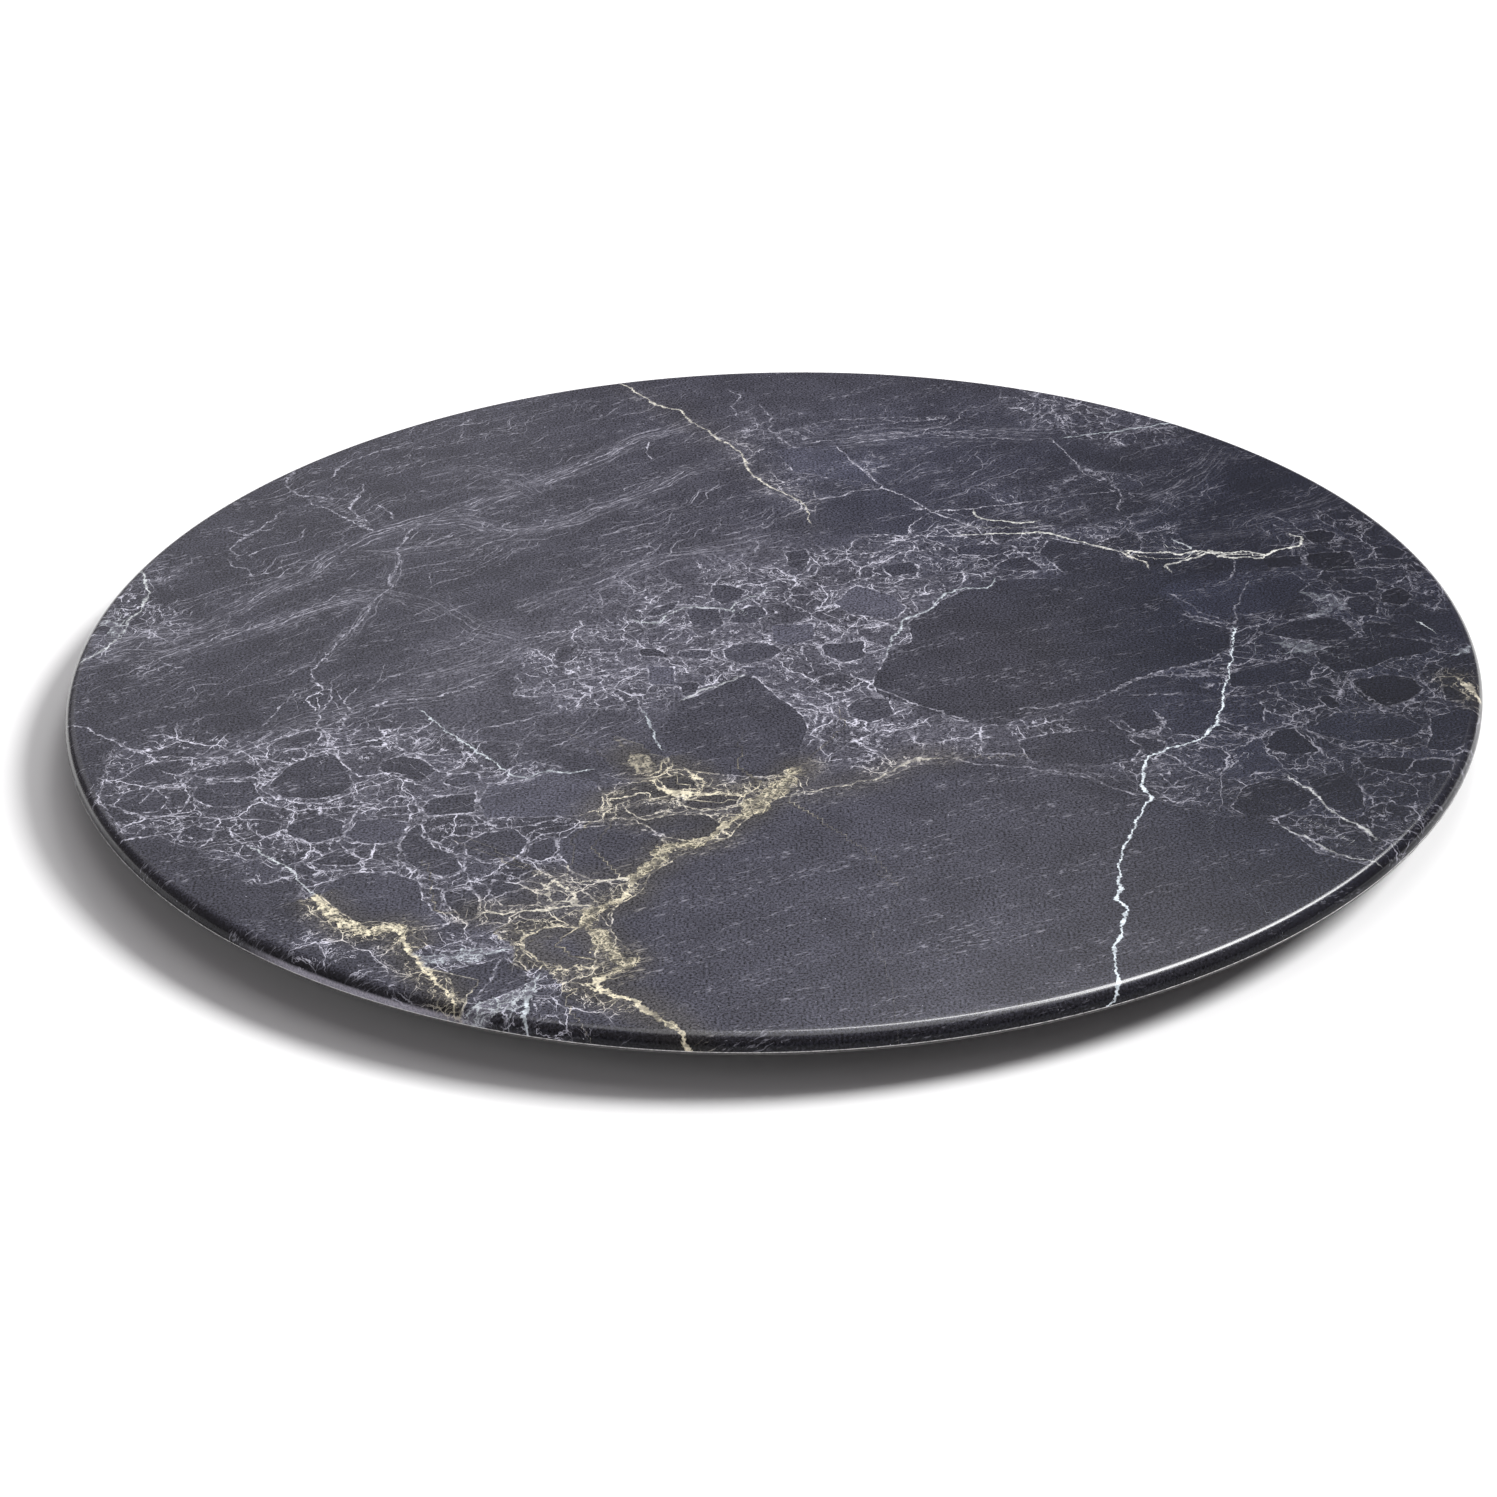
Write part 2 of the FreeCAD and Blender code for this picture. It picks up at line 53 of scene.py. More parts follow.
# Small helpers for materials: each call adds one node or a few and hands back the output.
class Recipe:
    def __init__(self, name):
        self.material = bpy.data.materials.new(name)
        self.material.use_nodes = True
        self.tree = self.material.node_tree
        self.shader = self.tree.nodes["Principled BSDF"]

    def feed(self, socket, value):
        if isinstance(value, bpy.types.NodeSocket):
            self.tree.links.new(value, socket)
        elif value is not None:
            socket.default_value = (*value, 1.0) if socket.type == "RGBA" and len(value) == 3 else value

    def node(self, kind, inputs=(), **settings):
        made = self.tree.nodes.new(kind)
        for name, value in settings.items():
            setattr(made, name, value)
        for key, value in dict(inputs).items():
            self.feed(made.inputs[key], value)
        return made

    def math(self, operation, *values):
        return self.node("ShaderNodeMath", dict(enumerate(values)), operation=operation).outputs[0]

    def chain(self, operation, values):
        total = values[0]
        for value in values[1:]:
            total = self.math(operation, total, value)
        return total

    def add(self, *values):
        return self.chain("ADD", values)

    def times(self, *values):
        return self.chain("MULTIPLY", values)

    def most(self, *values):
        return self.chain("MAXIMUM", values)

    def atMostOne(self, value):
        return self.math("MINIMUM", value, 1.0)

    def minus(self, value, taken):
        return self.math("SUBTRACT", value, taken)

    def inverse(self, value):
        return self.minus(1.0, value)

    def size(self, value):
        return self.math("ABSOLUTE", value)

    # eases from start to end while the value goes from low to high
    def ease(self, value, low, high, start=0.0, end=1.0, kind="SMOOTHSTEP"):
        inputs = dict(enumerate((value, low, high, start, end)))
        return self.node("ShaderNodeMapRange", inputs, interpolation_type=kind).outputs[0]

    # the same for a value that is a share already
    def between(self, share, start, end):
        return self.ease(share, 0, 1, start, end)

    def vector(self, operation, *values, scale=None):
        made = self.node("ShaderNodeVectorMath", dict(enumerate(values)), operation=operation)
        if operation == "SCALE":
            self.feed(made.inputs["Scale"], scale)
        return made.outputs["Value" if operation == "LENGTH" else "Vector"]

    def split(self, value):
        return self.node("ShaderNodeSeparateXYZ", {0: value}).outputs

    def join(self, x=0.0, y=0.0, z=0.0):
        return self.node("ShaderNodeCombineXYZ", {0: x, 1: y, 2: z}).outputs[0]

    def turn(self, place, degrees):
        inputs = {"Vector": place, "Angle": math.radians(degrees)}
        return self.node("ShaderNodeVectorRotate", inputs, rotation_type="Z_AXIS").outputs[0]

    # the place on the object in mm
    def objectPlace(self):
        return self.vector("SCALE", self.node("ShaderNodeTexCoord").outputs["Object"], scale=1000.0)

    # how far a place is from the turning axis
    def reach(self, place):
        return self.vector("LENGTH", self.vector("MULTIPLY", place, (1.0, 1.0, 0.0)))

    def attribute(self, name):
        return self.node("ShaderNodeAttribute", attribute_name=name).outputs

    # the three values stored under a name
    def stored(self, name):
        return self.split(self.attribute(name)["Vector"])

    # cloudy noise with features of about size, centred on 0.5
    def noise(self, place, size, detail=3.0, roughness=0.55, flat=True):
        inputs = {"Vector": place, "Scale": 1 / size, "Detail": detail, "Roughness": roughness}
        return self.node("ShaderNodeTexNoise", inputs, noise_dimensions="2D" if flat else "3D").outputs

    # moves a place about with a noise
    def stir(self, place, noise, amount):
        sway = self.vector("SUBTRACT", noise["Color"], (0.5, 0.5, 0.5))
        return self.vector("ADD", place, self.vector("SCALE", sway, scale=amount))

    def cells(self, place, size, feature):
        inputs = {"Vector": place, "Scale": 1 / size}
        return self.node("ShaderNodeTexVoronoi", inputs, voronoi_dimensions="2D", feature=feature).outputs

    # irregular cells of about size: the distance to their borders
    def cellGap(self, place, size):
        return self.times(self.cells(place, size, "DISTANCE_TO_EDGE")["Distance"], size)

    # random values, the same all over each cell
    def cellTones(self, place, size):
        return self.split(self.cells(place, size, "F1")["Color"])

    # thin lines side by side, each wandering in its own lane and coming and going along it
    def lane(self, along, across, spacing, width, length, start):
        scaled = self.math("MULTIPLY_ADD", across, 1 / spacing, start)
        number = self.math("FLOOR", scaled)
        place = self.join(along, self.times(number, length * 3.7))
        swing = self.split(self.noise(place, length, detail=4, roughness=0.62)["Color"])
        drift = self.ease(swing[0], 0.22, 0.78, 0.04, 0.96, kind="LINEAR")
        gap = self.size(self.minus(self.minus(scaled, number), drift))
        present = self.ease(swing[1], 0.42, 0.60)
        return self.times(self.ease(self.times(gap, spacing), width, 0.0), present)

    def lanes(self, along, across, rows):
        return self.most(*[self.times(self.lane(along, across, *row), strength) for *row, strength in rows])

    def blend(self, share, first, second, mode="MIX"):
        inputs = {0: share, 6: first, 7: second}
        return self.node("ShaderNodeMix", inputs, data_type="RGBA", blend_type=mode).outputs[2]

    def blendValue(self, share, first, second):
        return self.add(self.times(first, self.inverse(share)), self.times(share, second))

    def tint(self, share, color, tint):
        return self.blend(share, color, tint, "MULTIPLY")

    def shade(self, color, amount):
        return self.tint(1.0, color, self.join(amount, amount, amount))

    def finish(self, bump=None, bumpHeight=0.0, bumpStrength=1.0, **sockets):
        names = {"color": "Base Color", "roughness": "Roughness", "metallic": "Metallic",
                 "specular": "Specular IOR Level"}
        for name, value in sockets.items():
            self.feed(self.shader.inputs[names[name]], value)
        if bump is not None:
            inputs = {"Height": bump, "Distance": bumpHeight, "Strength": bumpStrength}
            self.feed(self.shader.inputs["Normal"], self.node("ShaderNodeBump", inputs).outputs[0])
        return self.material


# What is drawn on the marble print, in mm from the centre, with +y away from the front.
# Bold veins: each point is x, y, half the width there. gold is how much of its colour is gold,
# and solid is how much of a wide one is filled between its strands.
boldVeins = {
    "topCream": dict(gold=0.35, bright=0.8, line=[
        (-72, 296, 0.8), (-69, 287, 0.9), (-61, 275, 0.8), (-52, 259, 1.0), (-40, 252, 0.8),
        (-35, 238, 1.0), (-28, 229, 0.7), (-20, 215, 1.0), (-11, 201, 0.9), (-7, 180, 1.0), (0, 164, 1.1),
        (5, 157, 1.4), (15, 147, 0.9), (19, 138, 0.6), (20, 120, 0.3)]),
    "rightCreamLead": dict(gold=0.25, bright=0.8, line=[
        (96, 129, 0.5), (97, 121, 0.8), (102, 118, 0.9), (109, 117, 1.1), (118, 113, 1.0),
        (124, 115, 0.5)]),
    "rightCream": dict(gold=0.25, bright=0.9, line=[
        (88, 103, 0.4), (115, 104, 0.7), (125, 104, 0.9), (133, 99, 1.0), (141, 93, 1.1), (150, 88, 1.0),
        (158, 82, 1.3), (163, 82, 1.2), (168, 79, 1.0), (175, 80, 1.3), (181, 80, 1.0), (185, 77, 1.4),
        (190, 80, 1.2), (198, 80, 1.6), (204, 77, 1.2), (209, 77, 1.0), (216, 78, 0.8), (223, 75, 1.3),
        (231, 79, 1.3), (240, 84, 1.1), (241, 91, 0.7), (237, 94, 0.5)]),
    "rightCreamLower": dict(gold=0.3, bright=0.85, line=[
        (160, 80, 0.9), (162, 76, 1.0), (166, 73, 1.0), (169, 69, 0.7), (169, 66, 0.5)]),
    "rightCreamFork": dict(gold=0.25, bright=0.85, line=[
        (178, 61, 0.5), (178, 66, 0.9), (184, 70, 1.1), (192, 74, 1.1), (199, 80, 1.1)]),
    "rightCreamLoop": dict(gold=0.25, bright=0.8, line=[
        (199, 80, 0.8), (201, 74, 1.0), (206, 72, 1.0), (213, 73, 0.8), (220, 71, 1.0), (223, 75, 0.8)]),
    "rightCreamSpur": dict(gold=0.1, bright=0.75, line=[
        (184, 92, 0.4), (186, 88, 0.8), (190, 84, 0.8), (190, 79, 1.0)]),
    "rightLacePatch": dict(gold=0.0, bright=0.26, line=[
        (214, -10, 1.0), (222, -13, 3.6), (229, -14, 3.2), (224, -19, 2.0), (218, -20, 0.8)]),
    "rightLaceHigh": dict(gold=0.0, bright=0.22, line=[
        (233, 36, 1.5), (242, 32, 4.0), (246, 25, 4.2), (240, 16, 2.6), (232, 13, 1.0)]),
    "rightLaceEdge": dict(gold=0.0, bright=0.4, line=[
        (288, -26, 0.8), (293, -22, 2.4), (296, -18, 1.2)]),
    "whiteCrack": dict(gold=0.0, bright=1.25, line=[
        (199, 4, 0.3), (196, -15, 0.3), (192, -35, 0.4), (189, -46, 0.5), (186, -60, 0.6), (183, -71, 0.7),
        (180, -82, 0.8), (172, -93, 0.7), (160, -99, 0.8), (150, -106, 0.9), (147, -118, 1.0),
        (145, -128, 1.0), (147, -138, 1.1), (141, -152, 1.0), (136, -167, 1.0), (131, -180, 1.0),
        (128, -195, 1.1), (128, -207, 1.1), (126, -213, 1.1), (129, -221, 1.2), (125, -235, 1.2),
        (121, -250, 1.1), (121, -263, 1.1), (120, -271, 1.0), (117, -285, 0.8), (114, -298, 0.6)]),
    "goldMain": dict(gold=1.0, bright=1.0, solid=0.2, line=[
        (9, -107, 2.0), (5, -114, 4.0), (-1, -124, 5.5), (-9, -137, 5.0), (-17, -146, 2.5),
        (-22, -153, 1.5), (-26, -160, 2.6), (-35, -164, 4.0), (-44, -168, 3.4), (-47, -177, 3.0),
        (-56, -187, 3.0), (-56, -195, 1.0), (-60, -203, 1.4), (-69, -209, 3.4), (-75, -219, 2.6),
        (-69, -229, 4.0), (-65, -239, 4.0), (-58, -246, 4.4), (-60, -253, 2.6), (-67, -259, 1.4),
        (-72, -262, 0.8), (-65, -268, 1.0), (-55, -274, 1.2), (-47, -283, 2.0), (-41, -290, 2.0),
        (-37, -298, 1.4), (-34, -306, 1.5), (-33, -314, 1.4)]),
    "goldNet": dict(gold=0.9, bright=0.95, line=[
        (-42, -101, 0.4), (-44, -106, 0.6), (-50, -113, 0.4), (-49, -121, 1.3), (-39, -125, 1.5),
        (-24, -126, 0.7), (-12, -127, 0.8), (-6, -121, 0.6)]),
    "goldNetDrop": dict(gold=0.9, bright=0.95, line=[
        (-35, -108, 0.5), (-31, -114, 0.8), (-29, -120, 0.5), (-30, -125, 0.6)]),
    "goldNetLeft": dict(gold=0.7, bright=0.9, line=[
        (-49, -121, 0.6), (-57, -125, 0.6), (-66, -129, 0.6), (-70, -137, 0.4)]),
    "goldNetLoop": dict(gold=0.6, bright=0.8, line=[
        (-39, -125, 0.4), (-38, -134, 0.4), (-31, -139, 0.5), (-20, -139, 0.4), (-14, -133, 0.4)]),
    "goldNetCell": dict(gold=0.6, bright=0.8, line=[
        (-57, -125, 0.4), (-60, -136, 0.4), (-54, -144, 0.5), (-46, -143, 0.4), (-43, -134, 0.4)]),
    "goldPatch": dict(gold=0.9, bright=0.5, solid=0.7, line=[
        (-58, -93, 2.0), (-55, -99, 4.5), (-52, -106, 2.5)]),
    "goldOutline": dict(gold=0.9, bright=0.7, line=[
        (-73, -222, 0.8), (-84, -221, 0.5), (-96, -225, 0.6), (-97, -236, 0.7), (-91, -245, 0.6),
        (-80, -252, 0.6), (-70, -251, 0.8)]),
    "goldLace": dict(gold=0.6, bright=0.75, line=[
        (-69, -209, 1.6), (-78, -207, 1.0), (-88, -210, 1.2), (-97, -209, 0.9), (-105, -212, 0.7),
        (-114, -211, 0.5)]),
    "goldLoop": dict(gold=0.6, bright=0.8, line=[
        (-78, -204, 1.2), (-81, -194, 0.8), (-86, -189, 0.6), (-90, -194, 0.6), (-87, -204, 0.8)]),
    "goldTopEdge": dict(gold=0.55, bright=0.7, line=[
        (-80, -190, 0.5), (-68, -189, 0.5), (-58, -189, 0.8)]),
    "goldArc": dict(gold=1.0, bright=0.95, solid=1.0, line=[
        (-178, -195, 0.8), (-174, -203, 2.0), (-168, -211, 2.6), (-162, -217, 3.2), (-155, -221, 3.6),
        (-147, -219, 3.8), (-142, -222, 2.6), (-140, -230, 1.1), (-136, -240, 1.2), (-131, -250, 1.0),
        (-126, -258, 0.9), (-121, -270, 0.9), (-119, -280, 1.0), (-117, -292, 0.8)]),
    "arcLead": dict(gold=0.1, bright=0.8, line=[
        (-206, -158, 0.4), (-194, -170, 0.9), (-187, -178, 0.7), (-183, -187, 0.8), (-178, -195, 0.8)]),
    "lens": dict(gold=0.05, bright=0.75, line=[
        (-137, -237, 1.0), (-131, -243, 3.6), (-121, -241, 4.6), (-110, -239, 3.0), (-102, -237, 0.8)]),
    "rimLace": dict(gold=0.1, bright=0.8, line=[
        (-90, -256, 1.2), (-93, -263, 3.0), (-99, -270, 4.6), (-108, -276, 5.0), (-115, -282, 4.0),
        (-117, -290, 3.0)]),
    "rimLaceTail": dict(gold=0.05, bright=0.8, line=[
        (-93, -267, 1.4), (-94, -278, 1.2), (-95, -292, 0.8)]),
    "frontGoldEdge": dict(gold=0.5, bright=0.6, line=[
        (5, -128, 0.5), (23, -123, 0.5), (39, -118, 0.5), (49, -109, 0.8), (55, -102, 1.8),
        (66, -102, 0.6)]),
    "leftArm": dict(gold=0.05, bright=0.75, line=[
        (-146, -50, 0.3), (-141, -60, 0.6), (-133, -71, 0.7), (-123, -83, 1.0), (-115, -94, 0.9),
        (-106, -107, 0.9), (-100, -109, 0.8), (-92, -104, 0.9), (-82, -105, 0.7), (-75, -103, 0.4)]),
    "farLeft": dict(gold=0.15, bright=0.65, line=[
        (-285, 96, 0.5), (-280, 82, 0.8), (-276, 67, 0.9), (-277, 53, 1.0), (-281, 41, 0.9),
        (-283, 24, 1.0), (-291, 9, 0.9), (-297, 1, 0.8)]),
    "farLeftPatch": dict(gold=0.1, bright=0.6, line=[
        (-296, 44, 1.5), (-288, 36, 3.0), (-286, 26, 3.0)]),
    "rightEdgeGold": dict(gold=0.8, bright=0.6, line=[
        (286, -48, 0.6), (289, -55, 1.6), (292, -65, 0.8)]),
    "rightLowerCream": dict(gold=0.2, bright=0.55, line=[
        (204, -125, 0.5), (211, -136, 0.9), (214, -149, 0.9), (220, -158, 1.0), (228, -168, 1.3),
        (230, -174, 0.8)]),
    "rightLowerBranch": dict(gold=0.2, bright=0.5, line=[
        (195, -164, 0.5), (203, -171, 0.9), (210, -182, 0.9), (218, -188, 0.7), (228, -192, 0.5)]),
    "rimCrack": dict(gold=0.1, bright=0.75, line=[
        (279, 5, 0.3), (284, -4, 0.4)]),
    "topRightEdge": dict(gold=0.0, bright=0.6, line=[
        (145, 207, 0.4), (168, 212, 0.7), (185, 217, 0.9), (200, 221, 0.8), (208, 223, 0.6)]),
    "stairs": dict(gold=0.05, bright=0.7, line=[
        (48, -12, 0.4), (52, 2, 0.7), (56, 12, 1.1), (58, 20, 1.3), (66, 26, 0.8), (72, 34, 0.9),
        (77, 43, 0.7), (84, 49, 0.7), (92, 49, 0.7), (98, 49, 0.9), (100, 57, 0.6)]),
    "middleStep": dict(gold=0.1, bright=0.6, line=[
        (-59, 27, 0.5), (-50, 23, 0.9), (-44, 31, 0.7), (-38, 39, 0.6), (-22, 37, 0.7), (-17, 34, 1.2),
        (-14, 42, 0.7), (-8, 47, 0.5), (1, 53, 0.5)]),
    "clastEdge": dict(gold=0.15, bright=0.5, line=[
        (-38, -47, 0.4), (-30, -39, 0.9), (-22, -34, 0.9), (-12, -27, 0.5)]),
    "clastTail": dict(gold=0.0, bright=0.7, line=[
        (-54, -56, 0.4), (-52, -64, 0.7), (-50, -74, 0.6), (-46, -88, 0.3)]),
}

# Fine lines: strength, then points.
fineLines = [
    (0.5, [(-191, 0), (-186, 18), (-178, 35), (-175, 53), (-168, 65), (-170, 78), (-166, 92), (-169, 104),
        (-165, 118), (-161, 130)]),
    (0.8, [(35, 204), (40, 194), (44, 182), (52, 166), (55, 155)]),
    (0.8, [(23, 145), (35, 148), (42, 154), (54, 155), (61, 152), (69, 141), (76, 129), (85, 120),
        (95, 111), (99, 104)]),
    (0.9, [(69, 132), (80, 129), (97, 131), (111, 134), (122, 136)]),
    (0.6, [(122, 136), (139, 141), (162, 145), (175, 141)]),
    (0.8, [(71, 122), (65, 113), (67, 104), (76, 102), (88, 103), (99, 103)]),
    (0.8, [(30, 86), (42, 87), (51, 88)]),
    (0.8, [(53, 96), (67, 102)]),
    (0.7, [(138, 205), (143, 192), (148, 180), (150, 166), (157, 157), (162, 152), (166, 141), (162, 125)]),
    (0.5, [(150, 175), (156, 164), (163, 154)]),
    (0.6, [(127, 268), (136, 256), (150, 247), (155, 236), (159, 224)]),
    (0.5, [(19, 208), (46, 215), (69, 218), (88, 224), (94, 232), (99, 242)]),
    (0.5, [(39, 224), (55, 229), (69, 231), (92, 233)]),
    (0.5, [(46, 208), (81, 215), (105, 210), (120, 207), (130, 205)]),
    (0.4, [(78, 217), (108, 218), (138, 217)]),
    (0.4, [(35, 235), (60, 236), (90, 236)]),
    (0.6, [(211, 47), (206, 34), (202, 20), (199, 5)]),
    (0.6, [(44, -42), (53, -51), (61, -58), (69, -63), (78, -70)]),
    (0.5, [(69, -101), (81, -108), (99, -111), (122, -119), (136, -131), (147, -138)]),
    (0.5, [(102, -63), (118, -61), (132, -57), (141, -50), (150, -42), (159, -37), (178, -36), (196, -34)]),
    (0.9, [(204, -125), (211, -135), (214, -149), (220, -158), (228, -170), (227, -176)]),
    (0.9, [(195, -164), (203, -172), (210, -184), (225, -191)]),
    (0.6, [(240, -44), (245, -60), (251, -70), (262, -67), (270, -57), (277, -60)]),
    (0.8, [(279, -48), (277, -55), (276, -62)]),
    (0.7, [(225, -44), (233, -42), (236, -55), (234, -64)]),
    (0.7, [(150, -86), (153, -83), (156, -87), (160, -82), (157, -68)]),
    (0.6, [(138, -75), (144, -85), (152, -90), (158, -95)]),
    (0.7, [(-295, -53), (-286, -57), (-275, -67), (-264, -76), (-255, -83), (-240, -84), (-226, -86)]),
    (0.7, [(-226, -86), (-213, -77), (-203, -70), (-190, -63), (-181, -57), (-172, -48), (-163, -42),
        (-143, -38), (-125, -30)]),
    (0.8, [(-241, -98), (-231, -90), (-222, -86)]),
    (0.8, [(-231, -103), (-221, -103), (-211, -103), (-206, -112), (-201, -120)]),
    (0.9, [(-181, -80), (-190, -86), (-198, -93), (-203, -102), (-206, -110)]),
    (0.9, [(-181, -82), (-176, -92), (-171, -101), (-166, -104), (-158, -101), (-150, -103)]),
    (0.8, [(-189, -58), (-186, -67), (-181, -79)]),
    (0.8, [(-181, -79), (-170, -77), (-160, -72), (-148, -68), (-141, -60)]),
    (0.7, [(-159, -74), (-151, -84), (-142, -92), (-138, -101), (-133, -103), (-118, -103), (-108, -104)]),
    (0.9, [(-201, -120), (-193, -123), (-182, -126), (-172, -119), (-163, -112), (-152, -106),
        (-142, -113)]),
    (0.8, [(-168, -123), (-160, -127), (-152, -120), (-145, -124), (-141, -131), (-140, -142)]),
    (0.7, [(-240, -103), (-235, -117), (-238, -131), (-234, -142), (-237, -150)]),
    (0.6, [(-261, -126), (-250, -131), (-238, -131), (-224, -134), (-209, -136), (-194, -139)]),
    (0.6, [(-238, -104), (-249, -108), (-254, -120)]),
    (0.8, [(-258, -149), (-246, -147), (-235, -144)]),
    (0.8, [(-216, -142), (-212, -152), (-205, -157)]),
    (0.6, [(-194, -139), (-196, -147), (-186, -155), (-176, -157), (-170, -152), (-168, -140),
        (-166, -130)]),
    (0.7, [(-170, -158), (-163, -166), (-160, -175), (-176, -177), (-186, -170), (-181, -161)]),
    (0.6, [(-148, -158), (-147, -170), (-139, -180), (-129, -185), (-122, -180), (-122, -170), (-131, -162),
        (-139, -152), (-140, -142)]),
    (0.6, [(-160, -176), (-148, -174), (-139, -182), (-136, -192), (-129, -192), (-118, -192)]),
    (0.7, [(-129, -193), (-127, -203), (-122, -214), (-128, -221), (-141, -222)]),
    (0.6, [(-118, -192), (-113, -203), (-114, -214), (-122, -217)]),
    (0.6, [(-113, -203), (-106, -198), (-98, -194), (-90, -198)]),
    (0.5, [(-122, -168), (-112, -174), (-101, -171), (-97, -175), (-89, -175), (-86, -166), (-87, -156),
        (-96, -152), (-98, -160), (-99, -170)]),
    (0.6, [(-86, -172), (-80, -183), (-72, -189)]),
    (0.5, [(-110, -182), (-101, -186), (-95, -180), (-88, -186), (-80, -190)]),
    (0.6, [(-78, -149), (-72, -145), (-65, -142), (-57, -145), (-46, -156), (-44, -163)]),
    (0.6, [(-125, -228), (-112, -232), (-103, -236)]),
    (0.7, [(-97, -225), (-96, -236), (-97, -243), (-93, -254)]),
    (0.5, [(-104, -241), (-107, -254), (-112, -270)]),
    (0.6, [(-137, -233), (-126, -236), (-114, -236), (-103, -235)]),
    (0.8, [(-139, -122), (-130, -121), (-120, -119)]),
    (0.6, [(-118, -112), (-111, -113), (-101, -111)]),
    (0.6, [(-138, -137), (-127, -136), (-121, -138), (-109, -148), (-96, -147), (-86, -141)]),
    (0.8, [(-73, -27), (-70, -38), (-63, -45)]),
    (0.8, [(-73, -27), (-63, -19), (-53, -13)]),
    (0.7, [(-106, 13), (-96, 17), (-84, 21)]),
    (0.6, [(-21, -2), (-13, 5), (-6, 9)]),
    (0.7, [(5, -42), (12, -48), (19, -57), (26, -53), (36, -47)]),
    (0.6, [(19, -57), (21, -68), (18, -80), (12, -90)]),
    (0.6, [(12, 66), (18, 72), (22, 82), (30, 92)]),
    (0.9, [(-195, -20), (-190, -28), (-196, -38), (-189, -48), (-188, -58)]),
    (0.7, [(-191, 2), (-196, -12), (-195, -22), (-187, -27), (-186, -40), (-190, -52)]),
    (0.6, [(-176, -29), (-180, -40), (-176, -50), (-178, -62)]),
    (0.6, [(-202, -30), (-206, -42), (-211, -58)]),
    (0.7, [(-213, 158), (-205, 150), (-194, 139), (-185, 127)]),
    (0.7, [(-189, 175), (-190, 164), (-195, 150), (-187, 139), (-181, 125)]),
    (0.6, [(-181, 152), (-175, 145), (-172, 138)]),
    (0.5, [(-226, 148), (-231, 134), (-241, 120), (-245, 108), (-241, 103), (-236, 102)]),
    (0.5, [(-226, 131), (-233, 128), (-238, 120), (-248, 131)]),
    (0.5, [(-245, 99), (-241, 91), (-234, 89), (-232, 80), (-224, 85), (-212, 96)]),
    (0.5, [(-212, 128), (-214, 116), (-226, 112), (-236, 102)]),
    (0.7, [(-277, 55), (-271, 42), (-270, 23)]),
    (0.5, [(-224, 192), (-227, 176), (-219, 166), (-208, 162), (-196, 160)]),
    (0.5, [(-205, 185), (-202, 198), (-189, 210), (-171, 222)]),
    (0.8, [(-55, 215), (-56, 203), (-53, 195)]),
    (0.5, [(-16, 276), (-10, 268), (-15, 255), (-12, 243)]),
    (0.5, [(-25, 222), (-14, 212), (-5, 208)]),
    (0.5, [(0, 255), (5, 240), (4, 225), (10, 212), (14, 204)]),
    (0.8, [(288, 62), (292, 52), (297, 46)]),
    (0.8, [(230, 15), (243, 16), (252, 20)]),
    (0.7, [(260, 6), (266, 4)]),
    (0.6, [(200, 3), (196, 12), (186, 20), (182, 30), (176, 38)]),
    (0.8, [(192, -20), (196, -13), (204, -9), (210, -3)]),
    (0.7, [(190, -22), (175, -29), (165, -33), (153, -38), (140, -50)]),
    (0.6, [(191, -35), (197, -32), (205, -29), (215, -26)]),
    (0.6, [(168, -39), (180, -38), (190, -36), (196, -33)]),
    (0.9, [(223, -45), (228, -43), (234, -39)]),
    (0.9, [(232, -59), (235, -66)]),
    (0.8, [(245, -62), (247, -69), (251, -73), (258, -69), (266, -61)]),
    (0.8, [(211, -85), (215, -95), (219, -101), (220, -107)]),
    (0.7, [(200, -86), (209, -83), (218, -80)]),
    (0.6, [(148, -54), (160, -53), (170, -53)]),
    (0.8, [(182, -103), (190, -98), (196, -90)]),
    (0.7, [(251, -122), (256, -114), (264, -113), (273, -115)]),
    (0.7, [(260, -31), (264, -28), (270, -28)]),
    (0.7, [(208, 70), (207, 60), (204, 51), (197, 47)]),
    (0.9, [(228, 12), (238, 13), (244, 14)]),
    (0.6, [(247, 12), (249, 5), (250, -2)]),
    (0.6, [(251, 20), (252, 28), (248, 36), (241, 40)]),
    (0.7, [(283, 62), (283, 50), (281, 40)]),
    (0.5, [(272, 18), (280, 25), (282, 30)]),
]

